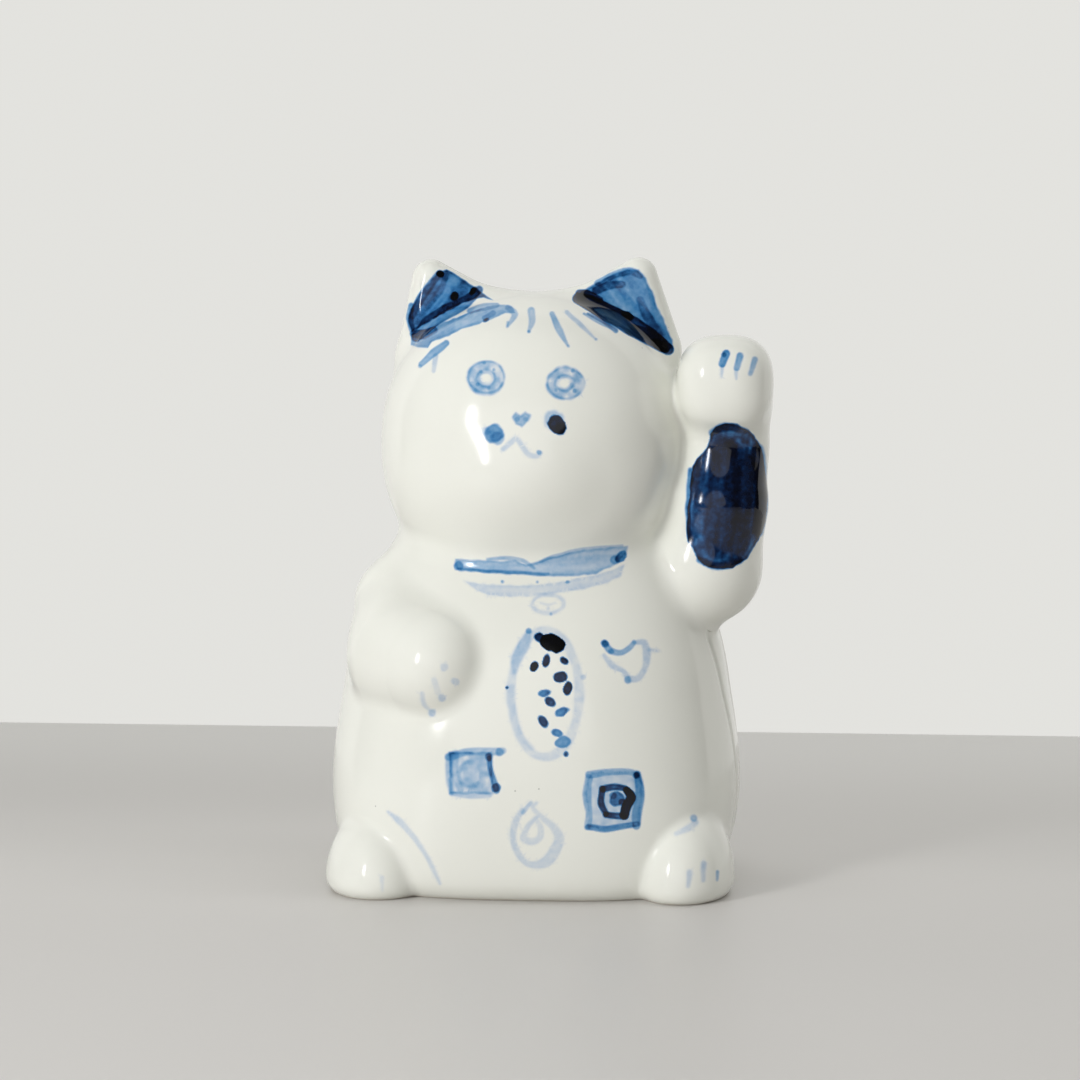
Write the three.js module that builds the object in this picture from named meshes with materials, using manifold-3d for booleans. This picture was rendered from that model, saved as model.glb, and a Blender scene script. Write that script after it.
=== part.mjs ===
// Beckoning cat figurine, press-moulded white porcelain, about 13 cm tall.
// Frame: millimetres, +Z up, resting on z = 0, the face looks along -Y,
// the raised foreleg is on the +X side.
//
// Clay pieces, as they are made and luted together:
//   body_front_shell  front mould half: face, front of the ears, chest,
//                     belly, lowered foreleg in relief, two hind paws
//   body_back_shell   back mould half: back of the head, ears and body
//   arm_front_half    front mould half of the raised foreleg and paw
//   arm_back_half     back mould half of the raised foreleg and paw
//   tail              small stub tail luted low on the back
//   base_slab         closing slab let into the foot, with the vent hole
import * as THREE from 'three';
import { mergeVertices } from 'three/addons/utils/BufferGeometryUtils.js';
import Module from 'manifold-3d';

// ---------------------------------------------------------------- dimensions
const WALL = 3.2;            // clay wall of the two body shells
const GAP = 0.3;             // clearance left along the seams and round the slab
const JOINT_GAP = 0.4;       // clearance left under the arm and the tail
const SEAM_Y = 1.5;          // parting plane of the two body shells
const ARM_SEAM_Y = -6.5;     // parting plane of the raised foreleg
const ARM_SOCKET = 1.1;      // how far the arm joint reaches round the arm
const TAIL_SOCKET = 0.5;     // the same for the tail
const JOINT_DEPTH = 1.4;     // how deep both are let into the wall
const SLAB_BOTTOM = 1.2;     // the slab is recessed this far above the foot
const SLAB_TOP = 4.6;
const VENT_RADIUS = 4.0;     // vent hole through the slab
const FOOT_ROUND = 4.0;      // rounding of the outer edge at the foot
const EAR_STEP = 2.3;        // facet size at the ears
const HOLLOW_STEP = 6.0;     // facet size of the cavity
const JOINT_STEP = 2.8;      // facet size of the arm joint
const TAIL_STEP = 2.2;       // facet size of the tail joint
const SPLINTER = 0.15;       // edges shorter than this are closed up after a cut
const FOOT_TRIM = 0.6;       // clay wiped off the foot to make it flat
const ORIGIN_X = 3.66;       // middle of the outline, from the body's own axis
const ORIGIN_Y = 3.09;

// torso: half width, front depth, back depth and squareness by height
const TORSO = {
  z:     [-6, 0, 4, 9, 15, 21.5, 28, 34, 40, 46, 52, 60, 90],
  wide:  [34.8, 36.6, 38.8, 40.5, 41.6, 42.0, 41.6, 40.8, 39.8, 39.0, 38.3, 37.8, 37.8],
  front: [31.5, 33.0, 34.6, 35.6, 36.2, 36.4, 36.2, 35.6, 34.6, 33.4, 32.2, 31.0, 30.0],
  back:  [31.5, 33.0, 34.8, 35.8, 36.4, 36.6, 36.4, 35.8, 34.8, 33.6, 32.4, 31.2, 30.2],
  power: [3.0, 2.95, 2.9, 2.8, 2.7, 2.6, 2.5, 2.45, 2.4, 2.35, 2.3, 2.3, 2.3],
  domeFrom: 42, domeHeight: 43, domePower: 2.1,
};
const HEAD = { centre: [-0.4, -1.5, 90], wide: 31.4, front: 30.5, back: 27.5,
  up: 30.8, down: 31.0, power: 2.25, powerZ: 2.2 };
const MUZZLE = { centre: [-0.4, -24, 85.5], radii: [12.5, 8.5, 8.5] };
// ears: tip, outer foot, inner foot, each with a radius, and a shallow dish
const EARS = [
  { p: [[-21.9, 0, 123.6], [-23.4, 0, 108.8], [-9.0, 0, 112.0]], r: [3.7, 5.4, 6.0],
    dish: [[-20.6, -6.6, 122.4], [-24.0, -8.6, 112.1], [-11.4, -9.6, 116.4]], dr: [2.2, 2.4, 1.8] },
  { p: [[20.9, 0, 124.2], [24.3, 0, 109.4], [7.6, 0, 112.0]], r: [3.6, 5.4, 6.0],
    dish: [[20.4, -6.6, 123.2], [26.4, -8.6, 110.8], [12.6, -9.6, 118.6]], dr: [2.2, 2.4, 1.8] },
];
// raised foreleg: shoulder, elbow, forearm, wrist, then the paw
const ARM = [[[31.0, -6.0, 61.6], 10.0], [[34.9, -7.0, 65.2], 10.6], [[37.7, -8.5, 78.2], 9.1],
  [[39.1, -9.0, 90.3], 7.7], [[39.2, -9.5, 97.1], 8.2]];
const PAW = { centre: [39.2, -10, 102.9], radii: [9.8, 10.2, 9.9], power: 2.6 };
// lowered foreleg in relief: shoulder, elbow, paw
const FORELEG = [[[-25.5, -8, 56.5], 10.6], [[-24.0, -17, 49.6], 10.6], [[-16.5, -26.5, 43.1], 9.6]];
const HIND_PAWS = [
  { centre: [-26.0, -19.5, 6.1], radii: [12.0, 15.0, 17.0] },
  { centre: [28.0, -19.5, 7.0], radii: [12.0, 15.0, 17.0] },
];
const TAIL = [[[3.0, 32.5, 22.0], 5.6], [[9.0, 35.6, 16.0], 5.8], [[14.5, 34.8, 14.0], 5.0]];

// -------------------------------------------------------------- clay field
// Every form is a signed distance in millimetres, negative inside the clay.
const mixTable = (z, zs, vs) => {
  let i = 0;
  while (i < zs.length - 2 && z > zs[i + 1]) i++;
  const slope = (k) => {
    if (k === 0) return (vs[1] - vs[0]) / (zs[1] - zs[0]);
    if (k === zs.length - 1) return (vs[k] - vs[k - 1]) / (zs[k] - zs[k - 1]);
    const a = zs[k] - zs[k - 1], b = zs[k + 1] - zs[k];
    return (a * a * vs[k + 1] + (b * b - a * a) * vs[k] - b * b * vs[k - 1]) / (a * b * (a + b));
  };
  const h = zs[i + 1] - zs[i];
  const t = Math.min(1, Math.max(0, (z - zs[i]) / h)), t2 = t * t, t3 = t2 * t;
  return (2 * t3 - 3 * t2 + 1) * vs[i] + (t3 - 2 * t2 + t) * h * slope(i)
    + (3 * t2 - 2 * t3) * vs[i + 1] + (t3 - t2) * h * slope(i + 1);
};
const smoothMin = (a, b, k) => {
  const h = Math.max(k - Math.abs(a - b), 0) / k;
  return Math.min(a, b) - h * h * k * 0.25;
};
const smoothMax = (a, b, k) => -smoothMin(-a, -b, k);
const asDistance = (f) => (x, y, z) => {
  const e = 0.05, v = f(x, y, z);
  const g = Math.hypot(f(x + e, y, z) - v, f(x, y + e, z) - v, f(x, y, z + e) - v) / e;
  return v / Math.max(g, 1e-4);
};
const ellipsoid = (x, y, z, c, r) => {
  const p = [(x - c[0]) / r[0], (y - c[1]) / r[1], (z - c[2]) / r[2]];
  const k0 = Math.hypot(...p), k1 = Math.hypot(p[0] / r[0], p[1] / r[1], p[2] / r[2]);
  return k0 * (k0 - 1) / Math.max(k1, 1e-6);
};
const roundCone = (x, y, z, a, b, ra, rb) => {
  const d = [b[0] - a[0], b[1] - a[1], b[2] - a[2]];
  const len2 = d[0] * d[0] + d[1] * d[1] + d[2] * d[2];
  const t = Math.min(1, Math.max(0, ((x - a[0]) * d[0] + (y - a[1]) * d[1] + (z - a[2]) * d[2]) / len2));
  return Math.hypot(x - a[0] - d[0] * t, y - a[1] - d[1] * t, z - a[2] - d[2] * t) - (ra + (rb - ra) * t);
};
const chain = (x, y, z, nodes, k, grow = 0) => {
  let d = null;
  for (let i = 0; i + 1 < nodes.length; i++) {
    const e = roundCone(x, y, z, nodes[i][0], nodes[i + 1][0], nodes[i][1] + grow, nodes[i + 1][1] + grow);
    d = d === null ? e : smoothMin(d, e, k);
  }
  return d;
};
// a flat triangle thickened by a radius that runs from corner to corner
const plate = (x, y, z, [A, B, C], [ra, rb, rc]) => {
  const ab = B.map((v, i) => v - A[i]), ac = C.map((v, i) => v - A[i]);
  const ap = [x - A[0], y - A[1], z - A[2]];
  const n = [ab[1] * ac[2] - ab[2] * ac[1], ab[2] * ac[0] - ab[0] * ac[2], ab[0] * ac[1] - ab[1] * ac[0]];
  const nl = Math.hypot(...n);
  const dot = (p, q) => p[0] * q[0] + p[1] * q[1] + p[2] * q[2];
  const d00 = dot(ab, ab), d01 = dot(ab, ac), d11 = dot(ac, ac), d20 = dot(ap, ab), d21 = dot(ap, ac);
  const den = d00 * d11 - d01 * d01;
  const v = (d11 * d20 - d01 * d21) / den, w = (d00 * d21 - d01 * d20) / den, u = 1 - v - w;
  const e = Math.min(roundCone(x, y, z, A, B, ra, rb), roundCone(x, y, z, B, C, rb, rc),
    roundCone(x, y, z, C, A, rc, ra));
  if (u < 0 || v < 0 || w < 0) return e;
  return Math.min(e, Math.abs(dot(ap, n)) / nl - (ra * u + rb * v + rc * w));
};

const torso = asDistance((x, y, z) => {
  const T = TORSO, a = mixTable(z, T.z, T.wide), n = mixTable(z, T.z, T.power);
  const b = y < 0 ? mixTable(z, T.z, T.front) : mixTable(z, T.z, T.back);
  const ring = (Math.abs(x / a) ** n + Math.abs(y / b) ** n + 1e-12) ** (1 / n);
  const rise = Math.max(z - T.domeFrom, 0) / T.domeHeight;
  return (ring ** T.domePower + rise ** T.domePower + 1e-12) ** (1 / T.domePower) - 1;
});
const skull = asDistance((x, y, z) => {
  const H = HEAD, dx = x - H.centre[0], dy = y - H.centre[1], dz = z - H.centre[2];
  const b = dy < 0 ? H.front : H.back, c = dz < 0 ? H.down : H.up;
  const ring = (Math.abs(dx / H.wide) ** H.power + Math.abs(dy / b) ** H.power + 1e-12) ** (1 / H.power);
  return (ring ** H.powerZ + Math.abs(dz / c) ** H.powerZ + 1e-12) ** (1 / H.powerZ) - 1;
});
const headForm = (x, y, z) => {
  let d = skull(x, y, z);
  for (const e of EARS) {
    const ear = smoothMax(plate(x, y, z, e.p, e.r), -plate(x, y, z, e.dish, e.dr), 1.6);
    d = smoothMin(d, ear, 5);
  }
  return smoothMin(d, ellipsoid(x, y, z, MUZZLE.centre, MUZZLE.radii), 6);
};
const pawForm = (x, y, z, grow = 0) => {
  const { centre: c, radii: r, power: n } = PAW;
  const q = (Math.abs((x - c[0]) / (r[0] + grow)) ** n + Math.abs((y - c[1]) / (r[1] + grow)) ** n
    + Math.abs((z - c[2]) / (r[2] + grow)) ** n + 1e-12) ** (1 / n);
  return (q - 1) * (Math.min(...r) + grow);
};
const armForm = (x, y, z, grow = 0) =>
  smoothMin(chain(x, y, z, ARM, 5, grow), pawForm(x, y, z, grow), 5);
const tailForm = (x, y, z, grow = 0) => chain(x, y, z, TAIL, 5, grow);
const bodyForm = (x, y, z) => {
  let t = torso(x, y, z);
  t = smoothMin(t, chain(x, y, z, FORELEG, 6), 3.5);
  t = smoothMin(t, Math.min(...HIND_PAWS.map((h) => ellipsoid(x, y, z, h.centre, h.radii))), 2.5);
  return smoothMin(t, headForm(x, y, z), 3.6);
};
const cat = (x, y, z) => {
  let d = smoothMin(bodyForm(x, y, z), armForm(x, y, z), 3.4);
  d = smoothMin(d, tailForm(x, y, z), 3);
  return smoothMax(d, -z - FOOT_TRIM, FOOT_ROUND);
};
// the plain rounded body behind ears, arm, tail and paws
const core = (x, y, z) => smoothMin(torso(x, y, z), skull(x, y, z), 7);
const cavity = (x, y, z) => core(x, y, z) + WALL;
// arm and tail are let into the wall by JOINT_DEPTH, not through it
const armJoint = (x, y, z) =>
  smoothMax(armForm(x, y, z, ARM_SOCKET), -core(x, y, z) - JOINT_DEPTH, 2);
const tailJoint = (x, y, z) =>
  smoothMax(tailForm(x, y, z, TAIL_SOCKET), -core(x, y, z) - JOINT_DEPTH, 2);

// ------------------------------------------------- field to closed surface
// stations along one axis: [from, step, from, step, ..., end]
const stations = (...plan) => {
  const out = [];
  for (let i = 0; i + 2 < plan.length; i += 2) {
    const count = Math.max(1, Math.round((plan[i + 2] - plan[i]) / plan[i + 1]));
    for (let k = 0; k < count; k++) out.push(plan[i] + (plan[i + 2] - plan[i]) * k / count);
  }
  return [...out, plan[plan.length - 1]];
};
const polygonise = (f, xs, ys, zs) => {
  const axes = [xs, ys, zs], n = axes.map((a) => a.length);
  const at = (i, j, k) => (i * n[1] + j) * n[2] + k;
  const F = new Float64Array(n[0] * n[1] * n[2]);
  for (let i = 0; i < n[0]; i++) for (let j = 0; j < n[1]; j++) for (let k = 0; k < n[2]; k++)
    F[at(i, j, k)] = f(xs[i], ys[j], zs[k]);
  const cellIndex = new Int32Array(F.length).fill(-1);
  const points = [];
  for (let i = 0; i + 1 < n[0]; i++) for (let j = 0; j + 1 < n[1]; j++) for (let k = 0; k + 1 < n[2]; k++) {
    const sum = [0, 0, 0];
    let count = 0;
    for (let c = 0; c < 8; c++) {
      const o = [c & 1, (c >> 1) & 1, (c >> 2) & 1];
      for (let ax = 0; ax < 3; ax++) {
        if (o[ax]) continue;
        const q = o.slice(); q[ax] = 1;
        const a = F[at(i + o[0], j + o[1], k + o[2])], b = F[at(i + q[0], j + q[1], k + q[2])];
        if ((a < 0) === (b < 0)) continue;
        const t = a / (a - b);
        for (let m = 0; m < 3; m++) sum[m] += o[m] + (m === ax ? t : 0);
        count++;
      }
    }
    if (!count) continue;
    cellIndex[at(i, j, k)] = points.length / 3;
    [i, j, k].forEach((g, m) => {
      const t = sum[m] / count;
      points.push(axes[m][g] * (1 - t) + axes[m][g + 1] * t);
    });
  }
  // draw every corner onto the true surface
  for (let pass = 0; pass < 2; pass++) for (let p = 0; p < points.length; p += 3) {
    const [x, y, z] = [points[p], points[p + 1], points[p + 2]], e = 0.05, v = f(x, y, z);
    const g = [f(x + e, y, z) - v, f(x, y + e, z) - v, f(x, y, z + e) - v].map((d) => d / e);
    const s = 0.9 * v / Math.max(g[0] * g[0] + g[1] * g[1] + g[2] * g[2], 0.2);
    for (let m = 0; m < 3; m++) points[p + m] -= s * g[m];
  }
  const faces = [];
  const quad = (a, b, c, d, flip) => {
    if (flip) faces.push(a, c, b, a, d, c); else faces.push(a, b, c, a, c, d);
  };
  for (let i = 1; i + 1 < n[0]; i++) for (let j = 1; j + 1 < n[1]; j++) for (let k = 1; k + 1 < n[2]; k++) {
    const here = F[at(i, j, k)] < 0;
    const C = (a, b, c) => cellIndex[at(a, b, c)];
    if (here !== (F[at(i + 1, j, k)] < 0))
      quad(C(i, j, k), C(i, j - 1, k), C(i, j - 1, k - 1), C(i, j, k - 1), !here);
    if (here !== (F[at(i, j + 1, k)] < 0))
      quad(C(i, j, k), C(i, j, k - 1), C(i - 1, j, k - 1), C(i - 1, j, k), !here);
    if (here !== (F[at(i, j, k + 1)] < 0))
      quad(C(i, j, k), C(i - 1, j, k), C(i - 1, j - 1, k), C(i, j - 1, k), !here);
  }
  const geometry = new THREE.BufferGeometry();
  geometry.setAttribute('position', new THREE.Float32BufferAttribute(points, 3));
  geometry.setIndex(faces);
  return geometry;
};

// the same surface moved outward by a distance
const grown = (geometry, f, distance) => {
  const copy = geometry.clone(), p = copy.getAttribute('position').array, e = 0.05;
  for (let i = 0; i < p.length; i += 3) {
    const [x, y, z] = [p[i], p[i + 1], p[i + 2]];
    const g = [f(x + e, y, z) - f(x - e, y, z), f(x, y + e, z) - f(x, y - e, z), f(x, y, z + e) - f(x, y, z - e)];
    const l = Math.hypot(...g) || 1;
    for (let m = 0; m < 3; m++) p[i + m] += distance * g[m] / l;
  }
  return copy;
};

// --------------------------------------------------------- join and cut
const wasm = await Module();
wasm.setup();
const { Manifold, Mesh } = wasm;
const toSolid = (source) => {
  let geometry = source.index ? source.clone() : source.toNonIndexed();
  for (const name of ['normal', 'uv']) geometry.deleteAttribute(name);
  geometry = mergeVertices(geometry, 1e-4);
  return new Manifold(new Mesh({
    numProp: 3,
    vertProperties: new Float32Array(geometry.getAttribute('position').array),
    triVerts: new Uint32Array(geometry.index.array),
  }));
};
// close up the splinter triangles that a cut leaves along its edge
const tidy = (points, triangles) => {
  const at = (v) => [points[3 * v], points[3 * v + 1], points[3 * v + 2]];
  const minus = (p, q) => [p[0] - q[0], p[1] - q[1], p[2] - q[2]];
  const cross = (p, q) => [p[1] * q[2] - p[2] * q[1], p[2] * q[0] - p[0] * q[2], p[0] * q[1] - p[1] * q[0]];
  const dot = (p, q) => p[0] * q[0] + p[1] * q[1] + p[2] * q[2];
  const unit = (p) => { const l = Math.hypot(...p); return l > 1e-12 ? p.map((c) => c / l) : [0, 0, 0]; };
  const normal = (a, b, c) => cross(minus(at(b), at(a)), minus(at(c), at(a)));
  const length = (a, b) => Math.hypot(...minus(at(a), at(b)));
  const faces = [], around = Array.from({ length: points.length / 3 }, () => new Set());
  for (let i = 0; i < triangles.length; i += 3) {
    const f = faces.length;
    faces.push([triangles[i], triangles[i + 1], triangles[i + 2]]);
    for (const v of faces[f]) around[v].add(f);
  }
  const shared = (a, b) => [...around[a]].filter((f) => around[b].has(f));
  const neighbours = (v) => new Set([...around[v]].flatMap((f) => faces[f]).filter((w) => w !== v));
  const bent = (a, b) => {
    const [f, g] = shared(a, b);
    return f === undefined || g === undefined
      || dot(unit(normal(...faces[f])), unit(normal(...faces[g]))) < 0.86;
  };
  const creases = (v) => [...neighbours(v)].filter((w) => bent(v, w)).length;
  const collapse = (u, v) => {           // u moves onto v
    const both = [...neighbours(u)].filter((w) => neighbours(v).has(w));
    if (both.length !== 2 || shared(u, v).length !== 2) return false;
    for (const f of around[u]) {
      if (faces[f].includes(v)) continue;
      const before = normal(...faces[f]), after = normal(...faces[f].map((w) => (w === u ? v : w)));
      if (Math.hypot(...after) < 1e-7) return false;
      if (Math.hypot(...before) > 1e-3 && dot(unit(before), unit(after)) < 0.5) return false;
    }
    for (const f of [...around[u]]) {
      if (faces[f].includes(v)) {
        for (const w of faces[f]) around[w].delete(f);
        faces[f] = null;
      } else {
        faces[f] = faces[f].map((w) => (w === u ? v : w));
        around[v].add(f);
      }
    }
    around[u].clear();
    return true;
  };
  const flip = (f, a, b, c) => {         // a-b is the long side of face f, c its other corner
    const g = shared(a, b).find((h) => h !== f);
    if (g === undefined) return false;
    const d = faces[g].find((w) => w !== a && w !== b);
    if (d === c || shared(c, d).length) return false;
    const n = unit(normal(...faces[g]));
    const one = [c, a, d], two = [d, b, c];
    if (dot(unit(normal(...one)), n) < 0.9 || dot(unit(normal(...two)), n) < 0.9) return false;
    around[a].delete(g); around[b].delete(f);
    faces[f] = one; faces[g] = two;
    around[d].add(f); around[c].add(g);
    return true;
  };
  for (let pass = 0, changed = 1; changed && pass < 12; pass++) {
    changed = 0;
    for (let f = 0; f < faces.length; f++) {
      if (!faces[f]) continue;
      const [a, b, c] = faces[f];
      const sides = [[length(a, b), a, b, c], [length(b, c), b, c, a], [length(c, a), c, a, b]]
        .sort((p, q) => p[0] - q[0]);
      const height = Math.hypot(...normal(a, b, c)) / sides[2][0];
      if (sides[0][0] < SPLINTER) {
        let [, u, v] = sides[0];
        if (creases(u) > creases(v)) [u, v] = [v, u];
        if (collapse(u, v) || collapse(v, u)) changed++;
      } else if (height < SPLINTER / 3) {
        const [, p, q, r] = sides[2];
        if (flip(f, p, q, r)) changed++;
      }
    }
  }
  return faces.filter(Boolean).flat();
};
const toGeometry = (solid) => {
  const mesh = solid.getMesh();
  let geometry = new THREE.BufferGeometry();
  geometry.setAttribute('position', new THREE.Float32BufferAttribute(mesh.vertProperties, 3));
  geometry.setIndex(Array.from(mesh.triVerts));
  geometry = mergeVertices(geometry, 1e-5);
  geometry.setIndex(tidy(geometry.getAttribute('position').array, Array.from(geometry.index.array)));
  geometry = geometry.toNonIndexed();
  geometry = mergeVertices(geometry, 1e-5);
  geometry.computeVertexNormals();
  return geometry;
};
const largest = (solid) => solid.decompose().sort((a, b) => b.volume() - a.volume())[0];
const boxSolid = (x0, x1, y0, y1, z0, z1) => toSolid(new THREE.BoxGeometry(x1 - x0, y1 - y0, z1 - z0)
  .translate((x0 + x1) / 2, (y0 + y1) / 2, (z0 + z1) / 2));
const FAR = 120;
const frontOf = (y) => boxSolid(-FAR, FAR, -FAR, y - GAP / 2, -FAR, 2 * FAR);
const behind = (y) => boxSolid(-FAR, FAR, y + GAP / 2, FAR, -FAR, 2 * FAR);
const aboveFoot = boxSolid(-FAR, FAR, -FAR, FAR, 0, 2 * FAR);

// the front of the figure carries the modelling, so its facets are finer
const skinFront = toSolid(polygonise((x, y, z) => Math.max(cat(x, y, z), y - SEAM_Y - 3),
  stations(-47, 3.3, 53), stations(-41, 3.3, -14, 2.8, SEAM_Y + 8),
  stations(-4, 2.8, 7, 4.4, 32, 3.2, 60, 3.6, 104, EAR_STEP, 132)));
const skinBack = toSolid(polygonise((x, y, z) => Math.max(cat(x, y, z), -y - 12),
  stations(-48, 4.6, 53), stations(-20, 4.4, 46),
  stations(-6, 3.2, 8, 4.8, 100, 3.4, 132)));
const hollow = toSolid(polygonise((x, y, z) => Math.max(cavity(x, y, z), -z - 6),
  stations(-45, HOLLOW_STEP, 45), stations(-40, HOLLOW_STEP, 41), stations(-12, HOLLOW_STEP, 126)));
const armJointSkin = polygonise(armJoint,
  stations(15, JOINT_STEP, 58), stations(-28, JOINT_STEP, 14), stations(42, JOINT_STEP, 122));
const tailJointSkin = polygonise(tailJoint,
  stations(-12, TAIL_STEP, 30), stations(20, TAIL_STEP, 50), stations(2, TAIL_STEP, 38));

const clayFront = skinFront.subtract(hollow).intersect(aboveFoot);
const clayBack = skinBack.subtract(hollow).intersect(aboveFoot);
const armAround = toSolid(armJointSkin), armGap = toSolid(grown(armJointSkin, armJoint, JOINT_GAP));
const tailAround = toSolid(tailJointSkin), tailGap = toSolid(grown(tailJointSkin, tailJoint, JOINT_GAP));
const vent = toSolid(new THREE.CylinderGeometry(VENT_RADIUS, VENT_RADIUS, 30, 24).rotateX(Math.PI / 2));
const slabFill = toSolid(polygonise((x, y, z) => Math.max(cavity(x, y, z) + GAP, -z - 6, z - 12),
  stations(-45, HOLLOW_STEP, 45), stations(-40, HOLLOW_STEP, 41), stations(-12, HOLLOW_STEP, 18)));

const PIECES = {
  body_front_shell: clayFront.subtract(armGap).intersect(frontOf(SEAM_Y)),
  body_back_shell: clayBack.subtract(armGap).subtract(tailGap).intersect(behind(SEAM_Y)),
  arm_front_half: clayFront.intersect(armAround).intersect(frontOf(ARM_SEAM_Y)),
  arm_back_half: clayBack.intersect(armAround).intersect(behind(ARM_SEAM_Y)),
  tail: clayBack.intersect(tailAround),
  base_slab: slabFill.intersect(boxSolid(-FAR, FAR, -FAR, FAR, SLAB_BOTTOM, SLAB_TOP)).subtract(vent),
};

const glaze = () => new THREE.MeshStandardMaterial({ color: 0xeeefe8, roughness: 0.12, metalness: 0 });
const bisque = () => new THREE.MeshStandardMaterial({ color: 0xd9d4c8, roughness: 0.85, metalness: 0 });
const figurine = new THREE.Group();
figurine.name = 'beckoning_cat';
for (const [name, solid] of Object.entries(PIECES)) {
  const piece = new THREE.Mesh(toGeometry(largest(solid)), name === 'base_slab' ? bisque() : glaze());
  piece.name = name;
  figurine.add(piece);
}
// origin under the middle of the figure's outline, on the resting plane
figurine.position.set(-ORIGIN_X, -ORIGIN_Y, 0);
export default figurine;
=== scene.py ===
"""Porcelain beckoning cat with cobalt brushwork: final meshes, glaze, and studio.

Metres in the scene, millimetres in the form functions, +Z up, face along -Y.
"""

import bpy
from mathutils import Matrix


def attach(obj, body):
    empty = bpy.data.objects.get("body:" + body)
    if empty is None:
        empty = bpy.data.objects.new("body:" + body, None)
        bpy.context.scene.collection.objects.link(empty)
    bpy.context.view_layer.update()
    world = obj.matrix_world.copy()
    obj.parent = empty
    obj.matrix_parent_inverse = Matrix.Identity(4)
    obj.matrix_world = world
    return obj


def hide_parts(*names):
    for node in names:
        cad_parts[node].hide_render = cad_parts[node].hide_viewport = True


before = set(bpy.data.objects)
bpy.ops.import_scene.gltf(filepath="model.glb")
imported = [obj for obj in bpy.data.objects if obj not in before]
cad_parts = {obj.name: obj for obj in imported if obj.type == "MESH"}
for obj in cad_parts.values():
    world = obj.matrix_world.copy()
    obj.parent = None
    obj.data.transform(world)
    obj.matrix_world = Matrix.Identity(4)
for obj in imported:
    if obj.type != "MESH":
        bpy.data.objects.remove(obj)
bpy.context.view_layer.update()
import math

import bpy
import numpy as np

SHIFT = np.array([-3.66, -3.09, 0.0])          # body axis to the frame's origin, mm
WALL, SEAM_Y, ARM_SEAM_Y = 3.2, 1.5, -6.5
ARM_SOCKET, TAIL_SOCKET, JOINT_DEPTH = 1.1, 0.5, 1.4
SLAB_BOTTOM, SLAB_TOP, VENT_RADIUS, SLAB_GAP = 1.2, 4.6, 4.0, 0.3

# ------------------------------------------------------------------ the form
TORSO = dict(
    z=[-6, 0, 4, 9, 15, 21.5, 28, 34, 40, 46, 52, 60, 90],
    wide=[34.8, 36.6, 38.8, 40.5, 41.6, 42.0, 41.6, 40.8, 39.8, 39.0, 38.3, 37.8, 37.8],
    front=[31.5, 33.0, 34.6, 35.6, 36.2, 36.4, 36.2, 35.6, 34.6, 33.4, 32.2, 31.0, 30.0],
    back=[31.5, 33.0, 34.8, 35.8, 36.4, 36.6, 36.4, 35.8, 34.8, 33.6, 32.4, 31.2, 30.2],
    power=[3.0, 2.95, 2.9, 2.8, 2.7, 2.6, 2.5, 2.45, 2.4, 2.35, 2.3, 2.3, 2.3])
EARS = [
    dict(p=[(-21.9, 0, 123.6), (-23.4, 0, 108.8), (-7.6, 0, 113.6)], r=(3.9, 5.4, 6.0),
         dish=[(-20.6, -6.6, 122.4), (-24.0, -8.6, 112.1), (-11.4, -9.6, 116.4)], dr=(2.2, 2.4, 1.8)),
    dict(p=[(20.9, 0, 124.2), (24.3, 0, 109.4), (6.4, 0, 113.6)], r=(3.8, 5.4, 6.0),
         dish=[(20.4, -6.6, 123.2), (26.4, -8.6, 110.8), (12.6, -9.6, 118.6)], dr=(2.2, 2.4, 1.8)),
]
ARM = [((31.0, -6.0, 61.6), 10.0), ((34.9, -7.0, 65.2), 10.6), ((37.7, -8.2, 78.2), 9.1),
       ((39.1, -7.0, 90.3), 7.7), ((39.2, -6.8, 96.0), 7.9)]
FORELEG = [((-26.0, -8, 57.0), 11.0), ((-23.5, -18, 48.0), 12.3), ((-18.0, -26.2, 47.0), 11.0)]
HIND_PAWS = [((-30.0, -19.3, 2.5), (11.5, 15.8, 14.5)), ((31.3, -19.6, 3.5), (10.6, 16.0, 15.0))]
TAIL = [((3.0, 32.5, 22.0), 5.6), ((9.0, 35.6, 16.0), 5.8), ((14.5, 34.8, 14.0), 5.0)]


def table(z, name):
    zs, vs = np.array(TORSO["z"], float), np.array(TORSO[name], float)
    slope = np.gradient(vs, zs)
    i = np.clip(np.searchsorted(zs, z, side="left") - 1, 0, len(zs) - 2)
    h = (zs[1:] - zs[:-1])[i]
    t = np.clip((z - zs[i]) / h, 0, 1)
    t2, t3 = t * t, t * t * t
    return ((2 * t3 - 3 * t2 + 1) * vs[i] + (t3 - 2 * t2 + t) * h * slope[i]
            + (3 * t2 - 2 * t3) * vs[i + 1] + (t3 - t2) * h * slope[i + 1])


def smin(a, b, k):
    h = np.maximum(k - np.abs(a - b), 0) / k
    return np.minimum(a, b) - h * h * k * 0.25


def smax(a, b, k):
    return -smin(-a, -b, k)


def as_distance(f):
    def g(x, y, z):
        e, v = 0.05, f(x, y, z)
        dx, dy, dz = f(x + e, y, z) - v, f(x, y + e, z) - v, f(x, y, z + e) - v
        return v / np.maximum(np.sqrt(dx * dx + dy * dy + dz * dz) / e, 1e-4)
    return g


def ellipsoid(x, y, z, c, r):
    px, py, pz = (x - c[0]) / r[0], (y - c[1]) / r[1], (z - c[2]) / r[2]
    k0 = np.sqrt(px * px + py * py + pz * pz)
    k1 = np.sqrt((px / r[0]) ** 2 + (py / r[1]) ** 2 + (pz / r[2]) ** 2)
    return k0 * (k0 - 1) / np.maximum(k1, 1e-6)


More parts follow.
